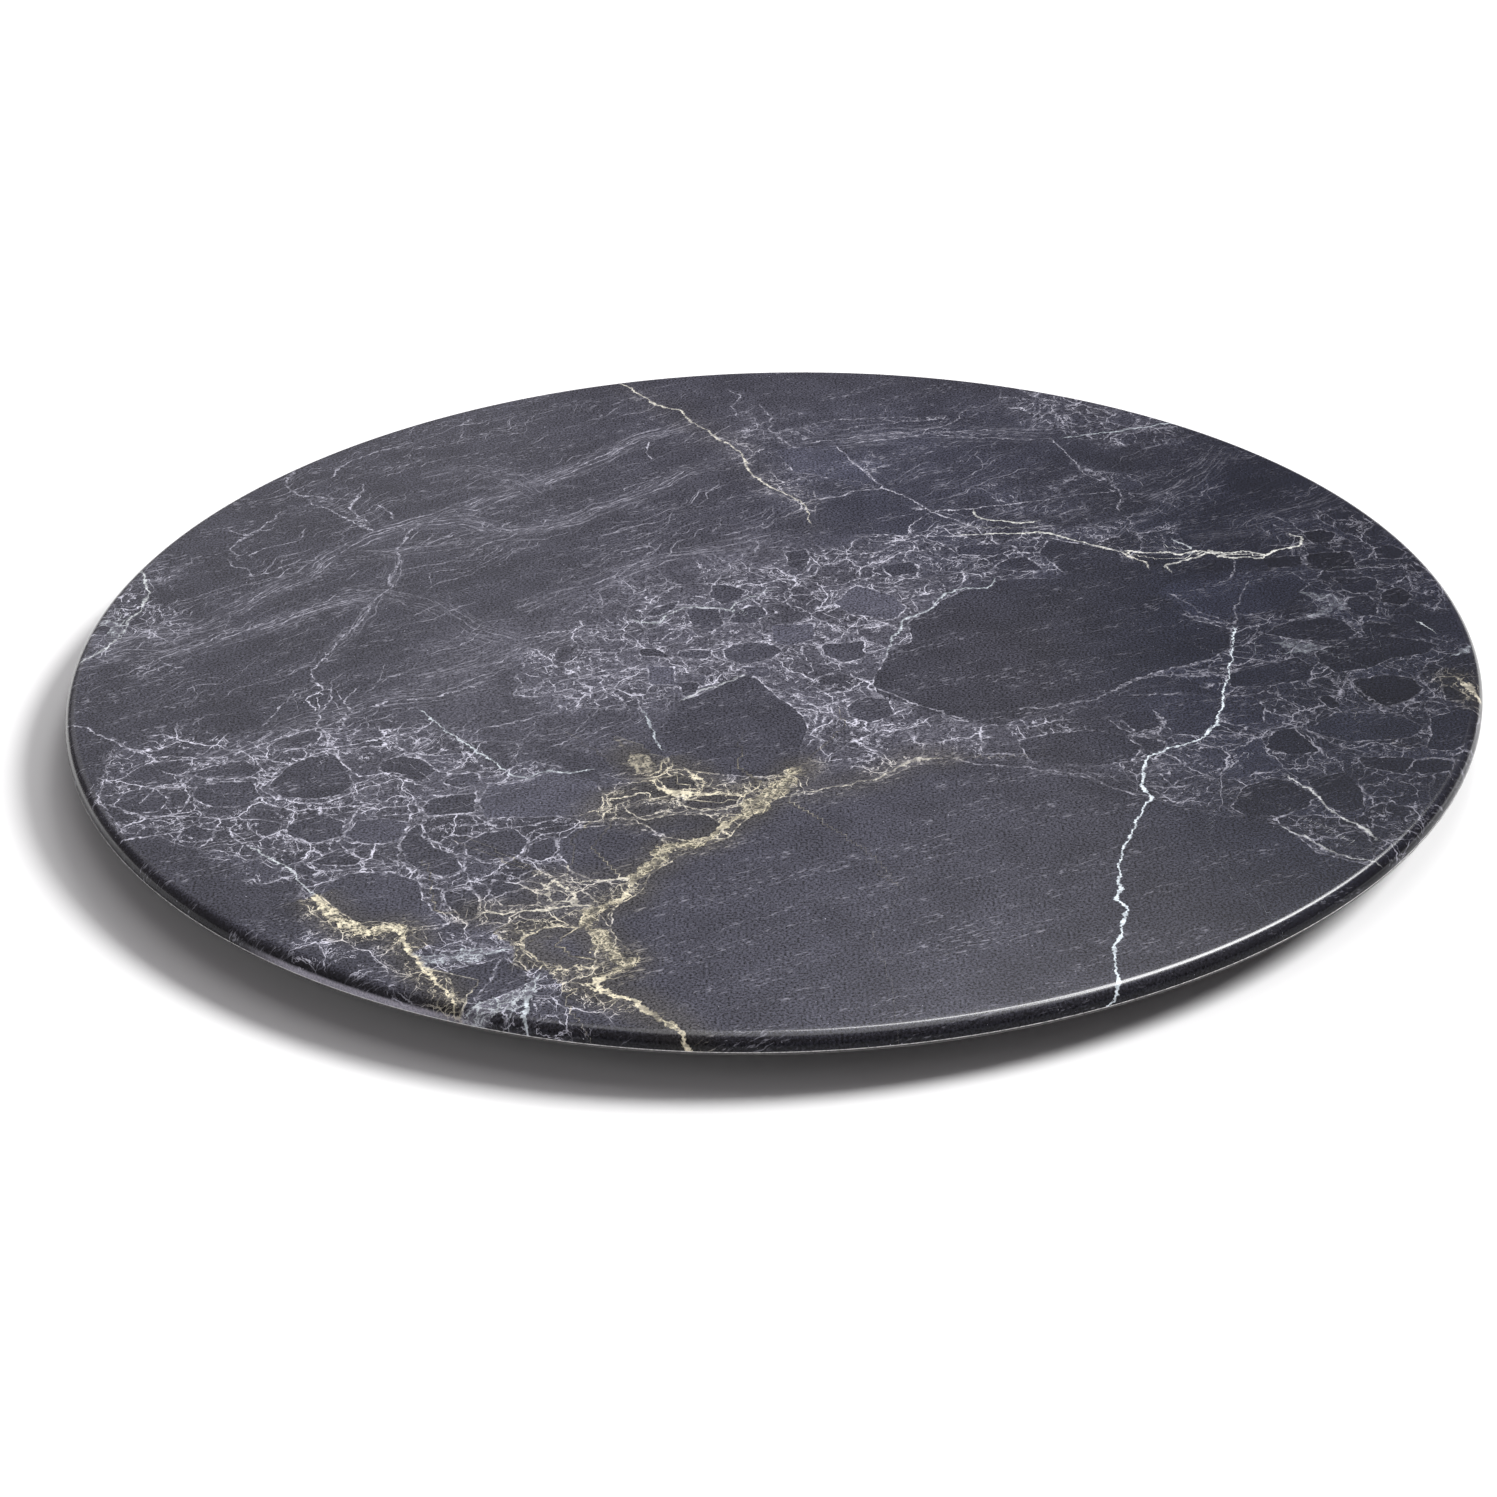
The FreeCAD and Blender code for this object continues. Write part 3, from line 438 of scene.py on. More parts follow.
# Bundles of thin strands: strength, half the bundle's width, then points.
strandBundles = [
    (0.6, 4, [(-192, 0), (-184, 18), (-178, 35), (-173, 53), (-168, 68), (-168, 90), (-167, 110),
        (-161, 130)]),
    (0.9, 5, [(-246, 12), (-231, 23), (-219, 32), (-203, 46), (-189, 54), (-176, 58)]),
    (0.9, 6, [(-243, 40), (-224, 62), (-208, 79), (-198, 99), (-180, 120), (-162, 133), (-148, 141),
        (-134, 152), (-115, 166), (-99, 178), (-88, 187), (-74, 203), (-60, 219), (-44, 229), (-32, 238)]),
    (0.8, 6, [(-165, 128), (-140, 134), (-120, 120), (-101, 121), (-90, 129), (-78, 141), (-62, 152),
        (-48, 164), (-37, 180), (-22, 191)]),
    (0.7, 6, [(-110, 42), (-96, 52), (-81, 61), (-65, 76), (-46, 88), (-23, 97), (0, 108)]),
    (0.5, 7, [(-190, 60), (-170, 62), (-150, 48), (-128, 22), (-110, 10)]),
    (0.6, 6, [(-298, -2), (-280, 10), (-262, 8), (-243, 18)]),
    (0.5, 8, [(-294, 18), (-270, 26), (-250, 30), (-240, 40)]),
    (0.5, 8, [(-150, -20), (-125, -8), (-105, 8), (-90, 16)]),
    (0.6, 8, [(-228, -88), (-200, -60), (-170, -42), (-140, -36), (-118, -20)]),
    (0.6, 8, [(178, 135), (196, 152), (208, 168), (220, 190)]),
    (0.5, 9, [(20, 208), (70, 216), (110, 214), (140, 212)]),
    (0.5, 8, [(190, 95), (220, 104), (250, 120), (275, 140)]),
    (0.4, 8, [(-160, 180), (-140, 190), (-120, 178), (-105, 160)]),
    (0.4, 9, [(-190, 100), (-160, 105), (-130, 112), (-100, 116)]),
    (0.4, 6, [(120, 235), (132, 245), (145, 240)]),
]

# Stones in the print: tone (over 1 is paler), then the corners of the outline.
stones = [
    (1.45, [(-117, -119), (-115, -112), (-99, -110), (-91, -105), (-81, -106), (-73, -114), (-69, -122),
        (-70, -135), (-78, -140), (-97, -140), (-115, -140), (-119, -129)]),
    (1.0, [(-202, -103), (-198, -94), (-191, -87), (-181, -84), (-174, -95), (-170, -109), (-174, -119),
        (-187, -121), (-198, -119), (-204, -110)]),
    (1.0, [(-160, -92), (-152, -88), (-143, -91), (-138, -101), (-143, -110), (-152, -105), (-161, -100)]),
    (1.0, [(-138, -124), (-129, -120), (-120, -119), (-120, -135), (-138, -138), (-141, -130)]),
    (1.0, [(-146, -149), (-141, -142), (-138, -151), (-134, -161), (-125, -168), (-122, -179), (-129, -184),
        (-138, -179), (-145, -170), (-148, -158)]),
    (0.9, [(-182, -170), (-171, -160), (-161, -169), (-164, -173), (-175, -173)]),
    (1.3, [(-174, -186), (-166, -179), (-150, -179), (-138, -186), (-136, -200), (-129, -211), (-125, -218),
        (-138, -220), (-152, -214), (-160, -216), (-168, -205), (-175, -195)]),
    (0.95, [(-129, -194), (-118, -193), (-114, -202), (-115, -214), (-121, -216), (-128, -205)]),
    (1.1, [(-85, -158), (-78, -149), (-60, -148), (-46, -158), (-44, -168), (-51, -181), (-60, -189),
        (-71, -190), (-81, -181), (-86, -168)]),
    (0.95, [(-58, -145), (-44, -141), (-28, -142), (-21, -150), (-23, -158), (-35, -162), (-44, -158),
        (-55, -151)]),
    (0.85, [(-39, -131), (-28, -126), (-14, -128), (-16, -135), (-28, -138), (-35, -138)]),
    (0.9, [(-48, -112), (-39, -109), (-32, -115), (-32, -121), (-44, -121)]),
    (1.35, [(-96, -224), (-81, -221), (-73, -225), (-69, -237), (-70, -251), (-79, -252), (-91, -245),
        (-97, -237)]),
    (1.0, [(-125, -251), (-104, -242), (-97, -248), (-92, -258), (-99, -265), (-111, -273), (-118, -271),
        (-121, -262)]),
    (1.1, [(-189, -138), (-180, -133), (-171, -140), (-171, -151), (-182, -156), (-193, -149),
        (-194, -142)]),
    (1.4, [(-166, -140), (-157, -138), (-145, -142), (-148, -156), (-161, -158), (-170, -151)]),
    (0.95, [(-173, -73), (-162, -72), (-159, -78), (-168, -80), (-174, -78)]),
    (1.0, [(-203, -69), (-195, -64), (-187, -66), (-188, -75), (-198, -80), (-206, -76)]),
    (1.1, [(-122, -158), (-115, -151), (-104, -149), (-97, -158), (-101, -170), (-115, -173),
        (-121, -168)]),
    (0.95, [(-97, -161), (-88, -156), (-85, -168), (-92, -175), (-98, -170)]),
    (1.05, [(-240, -98), (-229, -92), (-216, -88), (-208, -96), (-212, -101), (-230, -101)]),
    (1.1, [(-262, -112), (-250, -108), (-243, -118), (-246, -128), (-256, -129), (-264, -122)]),
    (1.15, [(-234, -108), (-222, -105), (-211, -106), (-206, -118), (-214, -126), (-228, -124),
        (-234, -116)]),
    (1.1, [(-132, -104), (-120, -103), (-119, -112), (-126, -116), (-134, -111)]),
    (1.0, [(-110, -187), (-101, -190), (-92, -198), (-92, -206), (-106, -206), (-111, -196)]),
    (1.0, [(-38, -46), (-31, -43), (-21, -34), (-12, -27), (-6, -30), (0, -43), (7, -54), (12, -64),
        (14, -76), (10, -90), (9, -104), (0, -112), (-11, -113), (-35, -107), (-43, -100), (-47, -80),
        (-44, -62)]),
    (0.9, [(60, 0), (60, 18), (76, 38), (86, 48), (98, 48), (102, 57), (115, 58), (134, 56), (150, 47),
        (166, 32), (184, 13), (198, 3), (195, -14), (184, -24), (163, -33), (148, -46), (126, -58),
        (106, -67), (94, -77), (76, -71), (60, -60), (43, -45), (42, -34), (47, -18), (50, -8)]),
    (1.12, [(0, -130), (22, -126), (39, -120), (58, -106), (78, -108), (99, -113), (122, -121), (146, -139),
        (165, -150), (180, -157), (196, -162), (206, -184), (232, -198), (280, -210), (330, -330),
        (-31, -330), (-36, -300), (-50, -281), (-69, -262), (-54, -247), (-64, -226), (-64, -210),
        (-53, -198), (-50, -186), (-38, -172), (-20, -160), (-14, -148)]),
    (1.0, [(99, -89), (111, -84), (129, -82), (141, -87), (148, -96), (144, -108), (129, -112), (115, -111),
        (101, -105)]),
    (1.2, [(141, -61), (157, -53), (180, -55), (184, -66), (181, -80), (172, -90), (162, -88), (159, -70),
        (148, -68)]),
    (1.2, [(187, -57), (197, -56), (203, -66), (200, -80), (187, -82), (184, -71)]),
    (0.8, [(203, -87), (212, -85), (217, -94), (219, -105), (208, -108), (198, -101), (200, -92)]),
    (0.75, [(242, -45), (256, -42), (268, -45), (270, -55), (263, -64), (251, -70), (245, -64),
        (241, -55)]),
    (1.25, [(215, -87), (231, -73), (254, -75), (265, -87), (258, -96), (231, -98)]),
    (0.85, [(178, -147), (185, -131), (198, -125), (205, -129), (211, -140), (208, -149), (196, -156),
        (182, -154)]),
    (0.9, [(210, -126), (226, -122), (231, -135), (230, -149), (222, -156), (215, -149), (212, -135)]),
    (0.9, [(141, -73), (150, -66), (157, -69), (158, -80), (148, -86)]),
    (0.85, [(233, -110), (254, -112), (261, -119), (249, -126), (235, -119)]),
    (1.1, [(30, -55), (39, -48), (48, -52), (50, -64), (39, -71), (30, -64)]),
    (1.3, [(186, 52), (200, 50), (206, 55), (222, 58), (232, 56), (238, 44), (232, 36), (226, 28),
        (220, 20), (206, 16), (200, 18), (196, 10), (190, 12), (183, 17), (176, 28), (170, 40), (176, 48)]),
    (0.8, [(162, 39), (175, 35), (182, 23), (171, 21), (162, 30)]),
    (0.8, [(242, 96), (251, 99), (258, 94), (254, 85), (245, 85)]),
    (0.75, [(240, 74), (261, 76), (261, 58), (249, 55), (240, 60)]),
    (0.8, [(268, 35), (277, 39), (281, 30), (275, 21), (265, 25)]),
    (0.75, [(221, 71), (238, 73), (238, 62), (222, 61)]),
    (0.8, [(180, 66), (190, 71), (206, 71), (207, 62), (200, 58), (186, 59), (180, 62)]),
    (0.8, [(248, 50), (263, 48), (262, 42), (252, 42)]),
    (1.45, [(5, 203), (35, 205), (44, 184), (51, 164), (44, 157), (28, 170), (14, 177)]),
    (1.0, [(23, 140), (53, 150), (69, 136), (71, 124), (64, 104), (30, 108), (23, 120)]),
    (1.6, [(39, 56), (55, 44), (60, 30), (53, 21), (35, 27), (28, 39)]),
    (1.0, [(8, 90), (18, 94), (19, 82), (15, 70), (9, 77)]),
    (1.0, [(85, 92), (104, 94), (113, 88), (101, 81), (85, 83)]),
    (0.95, [(128, 97), (158, 83), (158, 70), (139, 60), (131, 62), (122, 83)]),
    (0.9, [(50, 74), (65, 78), (67, 67), (55, 62)]),
    (0.9, [(100, 70), (112, 64), (122, 66), (116, 80), (108, 78)]),
    (1.05, [(-37, 38), (-22, 36), (-20, 20), (-27, 14), (-34, 20)]),
    (1.1, [(-16, 30), (-10, 38), (-3, 37), (-1, 28), (-8, 21), (-18, 23)]),
    (1.15, [(-25, 61), (-19, 60), (-10, 53), (-13, 44), (-21, 40), (-26, 48)]),
    (1.0, [(-50, 39), (-40, 45), (-41, 37), (-49, 31), (-55, 31)]),
    (1.15, [(-21, -2), (-13, 3), (-2, 4), (5, -5), (-1, -13), (-13, -17), (-20, -10)]),
    (1.7, [(1, 19), (19, 20), (19, 5), (8, -1), (1, 3)]),
    (1.05, [(-40, -2), (-24, -2), (-27, -11), (-40, -9)]),
    (0.85, [(-57, 1), (-49, 0), (-42, -9), (-56, -6)]),
    (1.7, [(-53, -15), (-42, -17), (-41, -33), (-52, -33)]),
    (1.3, [(-13, -19), (-2, -19), (-1, -30), (-10, -27)]),
    (0.95, [(-40, -31), (-31, -32), (-32, -42), (-38, -44)]),
    (1.1, [(22, 0), (40, 2), (40, -14), (30, -18), (22, -10)]),
    (0.95, [(191, -37), (205, -31), (222, -24), (228, -33), (225, -43), (210, -48), (190, -49)]),
    (0.85, [(230, -20), (241, -12), (255, -5), (272, -10), (284, -16), (276, -24), (262, -27), (250, -36),
        (236, -38), (231, -30)]),
    (0.9, [(216, 4), (224, 9), (240, 12), (248, 8), (252, -2), (244, -10), (232, -10), (220, -6),
        (212, -2)]),
    (0.85, [(253, 4), (258, 8), (268, 4), (272, -4), (262, -8), (254, -6)]),
    (0.75, [(278, -52), (281, -52), (288, -62), (284, -66), (277, -66)]),
    (0.85, [(225, -60), (231, -58), (234, -68), (229, -70)]),
    (1.0, [(268, -80), (284, -72), (290, -76), (284, -96), (272, -108), (262, -106), (266, -92)]),
    (0.95, [(252, -118), (262, -113), (272, -116), (268, -124), (256, -126)]),
    (0.85, [(161, 76), (166, 79), (183, 78), (184, 73), (178, 68), (170, 67), (164, 72)]),
    (1.0, [(222, 18), (228, 24), (231, 22), (230, 12), (224, 10), (220, 12)]),
    (1.0, [(252, 46), (262, 50), (268, 48), (266, 36), (256, 34), (251, 38)]),
    (0.95, [(251, 30), (262, 32), (264, 22), (262, 12), (252, 12), (250, 20)]),
    (0.85, [(272, 78), (280, 82), (285, 74), (280, 66), (271, 68)]),
    (0.85, [(187, 96), (192, 98), (200, 92), (196, 88), (188, 88)]),
]
print("marble laid out:", len(boldVeins), "veins,", len(fineLines), "lines,", len(stones), "stones")


# Soft patches that say where each kind of pattern shows: middle, half sizes, turn in degrees, strength.
patches = {
    "broken": [
        ((-165, -125), (95, 62), -20, 1.0), ((-110, -200), (75, 70), 20, 1.0),
        ((-235, -105), (50, 40), -40, 0.9), ((-30, -130), (45, 32), 10, 1.0),
        ((-95, -262), (45, 40), 0, 0.8), ((0, 25), (85, 62), 25, 1.0), ((-60, -10), (55, 40), 35, 1.0),
        ((85, 82), (90, 30), 5, 0.85), ((30, -45), (30, 75), 10, 1.0), ((70, -85), (75, 24), -5, 0.75),
        ((215, -20), (60, 42), 0, 0.8), ((260, 60), (40, 62), 0, 0.8), ((190, -100), (85, 52), 25, 0.66),
        ((255, -70), (48, 70), 0, 0.85), ((225, -160), (45, 36), 30, 0.8), ((165, 235), (50, 32), -40, 1.0),
        ((20, 190), (42, 62), 10, 0.45), ((150, 125), (60, 48), 0, 0.4), ((-275, 35), (26, 55), 10, 0.55)],
    "streaky": [
        ((-160, 110), (190, 190), 0, 1.0), ((-130, -30), (110, 60), 35, 0.9),
        ((150, 150), (170, 110), 0, 0.6), ((90, 215), (90, 30), 5, 0.5), ((-75, -55), (55, 40), 35, 0.9)],
    "dusty": [
        ((-5, 30), (95, 75), 25, 1.0), ((40, -75), (60, 48), 0, 1.0), ((-95, -25), (70, 42), 40, 0.75),
        ((-160, -110), (70, 45), -10, 0.6), ((-110, 5), (55, 32), 35, 0.8),
        ((170, -95), (110, 45), 15, 0.4), ((260, 0), (50, 120), 0, 0.4), ((165, 230), (55, 35), -40, 0.9),
        ((25, 200), (60, 60), 0, 0.5), ((-70, -50), (50, 35), 40, 0.5)],
    "blue": [
        ((255, 0), (110, 260), 0, 1.0), ((150, 140), (150, 110), -30, 0.5)],
}


# Distance in mm from each place to a line through the corners, with a sign for its side,
# and how far along it the nearest point is, counted in corners.
def distanceToLine(places, corners, closed=False):
    best = np.full(len(places), 1e9)
    side = np.ones(len(places))
    along = np.zeros(len(places))
    inside = np.zeros(len(places), bool)
    ends = list(zip(corners, corners[1:])) + ([(corners[-1], corners[0])] if closed else [])
    for number, (start, stop) in enumerate(ends):
        start, stop = np.array(start[:2], float), np.array(stop[:2], float)
        run = stop - start
        apart = places - start
        share = np.clip(apart @ run / (run @ run), 0, 1)
        gap = apart - share[:, None] * run
        distance = np.hypot(gap[:, 0], gap[:, 1])
        nearer = distance < best
        best[nearer] = distance[nearer]
        cross = run[0] * apart[:, 1] - run[1] * apart[:, 0]
        side[nearer] = np.where(cross[nearer] < 0, -1, 1)
        along[nearer] = number + share[nearer]
        if closed:
            spans = (start[1] > places[:, 1]) != (stop[1] > places[:, 1])
            rise = run[1] if run[1] else 1e-9
            reach = start[0] + (places[:, 1] - start[1]) * run[0] / rise
            inside ^= spans & (places[:, 0] < reach)
    if closed:
        return np.where(inside, -best, best), along
    return best * side, along


printLayout = {
    "farOff": 99.0,           # mm, where nothing is near
    "fineWidth": 0.35,        # mm, half the width of a fine line
    "endFade": 3,             # mm past a line's end
    "runApart": 700,          # mm between the runs of two lines, so their noise differs
}


# What the print needs to know at each place, worked out once from the lists above.
def layOutPrint(places):
    count = len(places)
    farOff, fineWidth = printLayout["farOff"], printLayout["fineWidth"]
    widths = (0.5, fineWidth, 5.0, 1.0)
    bold, fine, strands, stone = [np.tile([farOff, width, 0.0], (count, 1)) for width in widths]
    gold, solid, veinRun, strandRun = np.zeros((4, count))

    # where this line is nearer than what the table holds, it takes over
    def keepNearest(table, nearest, width, strength, last):
        distance, position = nearest
        atEnd = (position <= 0) | (position >= last)
        fade = np.where(atEnd, np.clip(1 - np.abs(distance) / printLayout["endFade"], 0, 1), 1)
        near = np.abs(distance) - width < np.abs(table[:, 0]) - table[:, 1] * (table[:, 0] < farOff - 9)
        table[near, 0] = distance[near]
        table[near, 1] = np.broadcast_to(width, distance.shape)[near]
        table[near, 2] = (strength * fade)[near]
        return near

    # how many mm along the line each position is, with each line's run apart from the others
    def runAlong(line, position, number):
        lengths = np.hypot(*np.diff(np.array(line, float)[:, :2], axis=0).T)
        run = np.interp(position, range(len(line)), [0, *np.cumsum(lengths)])
        return run + number * printLayout["runApart"]

    for number, vein in enumerate(boldVeins.values()):
        line = vein["line"]
        nearest = distanceToLine(places, line)
        width = np.interp(nearest[1], range(len(line)), [point[2] for point in line])
        near = keepNearest(bold, nearest, width, vein["bright"], len(line) - 1)
        gold[near] = vein["gold"]
        solid[near] = vein.get("solid", 0.0)
        veinRun[near] = runAlong(line, nearest[1], number)[near]
    for strength, line in fineLines:
        keepNearest(fine, distanceToLine(places, line), fineWidth, strength, len(line) - 1)
    for number, (strength, width, line) in enumerate(strandBundles):
        nearest = distanceToLine(places, line)
        near = keepNearest(strands, nearest, width, strength, len(line) - 1)
        strandRun[near] = runAlong(line, nearest[1], number)[near]
    for tone, outline in stones:
        distance, _ = distanceToLine(places, outline, closed=True)
        near = distance < stone[:, 0]
        stone[near, 0] = distance[near]
        stone[near, 1] = tone
    kinds = {}
    for kind, rows in patches.items():
        kinds[kind] = np.zeros(count)
        for middle, halves, turn, strength in rows:
            angle = math.radians(turn)
            x, y = (places - np.array(middle, float)).T
            across = (x * math.cos(angle) + y * math.sin(angle)) / halves[0]
            up = (y * math.cos(angle) - x * math.sin(angle)) / halves[1]
            # full strength to 0.7 of the way out, none past 1.3
            amount = strength * np.clip(2.2 - 1.7 * np.hypot(across, up), 0, 1)
            kinds[kind] = np.maximum(kinds[kind], amount)
    area = np.column_stack([kinds["broken"], kinds["streaky"], kinds["dusty"]])
    return {"boldVein": bold, "fineLine": fine, "strandBundle": strands, "stone": stone, "printArea": area,
            "goldShare": gold, "veinSolid": solid, "blueArea": kinds["blue"], "strandRun": strandRun,
            "veinRun": veinRun}


film = {
    "outerRound": 5.0,        # mm, rounded upper edge
    "thickness": 0.4,
    "cutBevel": 0.15,
    "ringsAcross": 128,       # rows of faces from the middle to the rounded edge
    "roundSteps": 10,
    "innerSteps": 4,
    "sharpAngle": 38,         # degrees
}


# Size of the film in mm from its CAD node.
def filmSize():
    low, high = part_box("marble_film")
    radius = min(high.x - low.x, high.y - low.y) / 2 / mm
    flat = radius - film["outerRound"]
    return SimpleNamespace(radius=radius, flat=flat, top=high.z / mm, bottom=low.z / mm)


# The rim from the flat top outward, down and back in: radius, height, how far the print has run.
def rimProfile(size):
    bend, thick, bevel = film["outerRound"], film["thickness"], film["cutBevel"]
    middle = size.top - bend
    run = size.flat + bend * math.pi / 2
    side = middle - size.bottom
    profile = []
    for step in range(1, film["roundSteps"] + 1):
        angle = math.pi / 2 * step / film["roundSteps"]
        reach, height = size.flat + bend * math.sin(angle), middle + bend * math.cos(angle)
        profile.append((reach, height, size.flat + bend * angle))
    profile.append((size.radius, size.bottom + side / 2, run + side / 2))
    profile.append((size.radius, size.bottom + bevel, run + side - bevel))
    profile.append((size.radius - bevel, size.bottom, run + side))
    profile.append((size.radius - thick, size.bottom, run + side + thick))
    inner = bend - thick
    for step in range(film["innerSteps"] + 1):
        angle = math.pi / 2 * (1 - step / film["innerSteps"])
        profile.append((size.flat + inner * math.sin(angle), middle + inner * math.cos(angle), run))
    return profile


# The printed film: a disc of even square faces, wrapped round the rim and cut off below.
def makeFilm(size):
    rows = film["ringsAcross"]
    spots, prints, faces = [], [], []
    for down in range(-rows, rows + 1):
        for across in range(-rows, rows + 1):
            square = max(abs(across), abs(down))
            if square == 0:
                angle = 0
            elif abs(across) == square:
                angle = math.pi / 4 * down / across + (math.pi if across < 0 else 0)
            else:
                angle = math.pi / 2 - math.pi / 4 * across / down + (math.pi if down < 0 else 0)
            reach = size.flat * square / rows
            place = (reach * math.cos(angle), reach * math.sin(angle))
            spots.append((*place, size.top))
            prints.append(place)
    side = 2 * rows + 1
    for down in range(side - 1):
        for across in range(side - 1):
            corner = down * side + across
            faces.append((corner, corner + 1, corner + side + 1, corner + side))
    ring = list(range(side - 1))
    ring += [down * side + side - 1 for down in range(side - 1)]
    ring += [side * side - 1 - across for across in range(side - 1)]
    ring += [(side - 1 - down) * side for down in range(side - 1)]
    angles = [math.atan2(spots[corner][1], spots[corner][0]) for corner in ring]

    above = ring
    for reach, height, printed in rimProfile(size):
        below = [len(spots) + number for number in range(len(ring))]
        for angle in angles:
            spots.append((reach * math.cos(angle), reach * math.sin(angle), height))
            prints.append((printed * math.cos(angle), printed * math.sin(angle)))
        for number in range(len(ring)):
            after = (number + 1) % len(ring)
            faces.append((above[number], below[number], below[after], above[after]))
        above = below
    faces.append(tuple(reversed(above)))

    mesh = bpy.data.meshes.new("marbleFilm")
    mesh.from_pydata([[value * mm for value in spot] for spot in spots], [], faces)
    mesh.shade_smooth()
    mesh.set_sharp_from_angle(angle=math.radians(film["sharpAngle"]))
    places = np.array(prints, float)
    values = layOutPrint(places)
    values["printPlace"] = np.column_stack([places, np.zeros(len(places))])
    for name, value in values.items():
        single = value.ndim == 1
        made = mesh.attributes.new(name, "FLOAT" if single else "FLOAT_VECTOR", "POINT")
        made.data.foreach_set("value" if single else "vector", value.astype(np.float32).ravel())
    piece = bpy.data.objects.new("marbleFilm", mesh)
    bpy.context.scene.collection.objects.link(piece)
    return piece


marbleLook = {
    "stone": (0.044, 0.044, 0.059),
    "dust": (0.150, 0.146, 0.182),
    "line": (0.72, 0.71, 0.82),
    "cream": (0.88, 0.84, 0.74),
    "white": (0.80, 0.88, 0.95),
    "gold": (0.90, 0.82, 0.62),
    "goldShadow": (0.075, 0.070, 0.055),
    "nearGold": (1.16, 1.10, 0.84),   # tint of the stone beside gold
    "blueTint": (0.58, 0.66, 0.86),
    "cutEdge": (0.80, 0.79, 0.78),
    # painted reflection of the floor low on the rim: its colour, middle and reach
    "paintedReflection": (0.46, 0.44, 0.52),
    "paintedReflectionPlace": (-160, -258, 0),   # mm, middle of a painted reflection of the floor, a lighter stretch low on the rim
    "paintedReflectionReach": 62,
    "rimPaintedShade": 0.30,                 # painted shade: how much darker the print is drawn on the rounded edge than on the top
    "leftPaintedShade": 0.87,                # painted shade: how much darker the stone is drawn toward -x
    "leftRange": (-230, -60),         # mm, where it changes
    "rightPaintedShade": 0.44,               # painted shade: how much darker the stone is drawn toward +x
    "rightPaintedLineShade": 0.38,               # painted shade: how much darker its lines are drawn there
    "rightRange": (30, 255),
    "paleVeinWidth": 0.46,
    "roughness": 0.24,
    "rimRoughness": 0.20,
    "sheen": 0.29,                    # how much the surface reflects, 0.5 is ordinary lacquer
    "glintSheen": 0.95,               # on the upper turn of the edge
    "rimSheen": 0.12,                 # below it
    "grainSize": 1.0,                 # mm
    "grainDepth": 0.85,
    "reliefHeight": 0.00002,          # metres
}

# Sets of thin lines: spacing, half the width and length in mm, start, strength.
lanes = {
    "strands": [(3.6, 0.42, 34, 0.0, 1.0), (5.3, 0.46, 45, 0.4, 1.0), (2.3, 0.32, 18, 0.7, 0.7)],
    "wisps": [(8.5, 0.42, 46, 0.2, 1.0), (4.7, 0.32, 30, 0.6, 0.7)],
    "steepWisps": [(14, 0.36, 38, 0.5, 0.7)],
    "gold": [(2.5, 0.46, 10, 0.3, 1.0), (3.9, 0.50, 15, 0.65, 1.0)],
}

# Sizes of cells and noises in mm, and directions in degrees.
pattern = {
    "largeStones": 21, "middleStones": 9, "smallStones": 3.7, "curls": 15,
    "wispTurn": -40, "steepTurn": -72, "scratchTurn": -24, "scratches": 1.1, "specks": 1.3,
    "wideLace": 5.0, "tightLace": 2.6, "veinSwell": 7,
}


# What all of the print shares: places, the noises that bend lines, break them up and vary the stone,
# and what was stored for each place.
def startPrint(m):
    p = SimpleNamespace(place=m.attribute("printPlace")["Vector"])
    p.reach = m.vector("LENGTH", p.place)
    p.slow = m.noise(p.place, 34, detail=2)
    p.quick = m.noise(p.place, 9, detail=3)
    p.tiny = m.noise(p.place, 1.9, detail=2, roughness=0.65)
    p.grain = m.noise(p.place, marbleLook["grainSize"], detail=1.5, roughness=0.75)["Fac"]
    p.patchy = m.noise(p.place, 24, detail=4)["Fac"]
    p.come = m.ease(m.noise(p.place, 11, detail=3)["Fac"], 0.38, 0.62)
    p.goFine = m.ease(m.noise(p.place, 3.8, detail=2)["Fac"], 0.36, 0.64)
    p.jitter = m.add(m.times(m.minus(p.quick["Fac"], 0.5), 5.0), m.times(m.minus(p.tiny["Fac"], 0.5), 2.6))

    broken, streaky, p.dusty = m.stored("printArea")
    edge = m.ease(p.patchy, 0.3, 0.7, -0.3, 0.3, kind="LINEAR")
    p.broken = m.ease(m.add(broken, edge), 0.25, 0.7)
    p.streaky = m.ease(m.add(streaky, edge), 0.15, 0.8)
    stoneDistance, p.stoneTone, _ = m.stored("stone")
    p.stoneEdge = m.add(stoneDistance, m.times(p.jitter, 0.6))
    p.inStone = m.ease(p.stoneEdge, 0.4, -0.4)
    p.outside = m.inverse(p.inStone)
    p.veinDistance, p.veinWidth, p.veinBright = m.stored("boldVein")
    p.gold = m.attribute("goldShare")["Fac"]
    return p


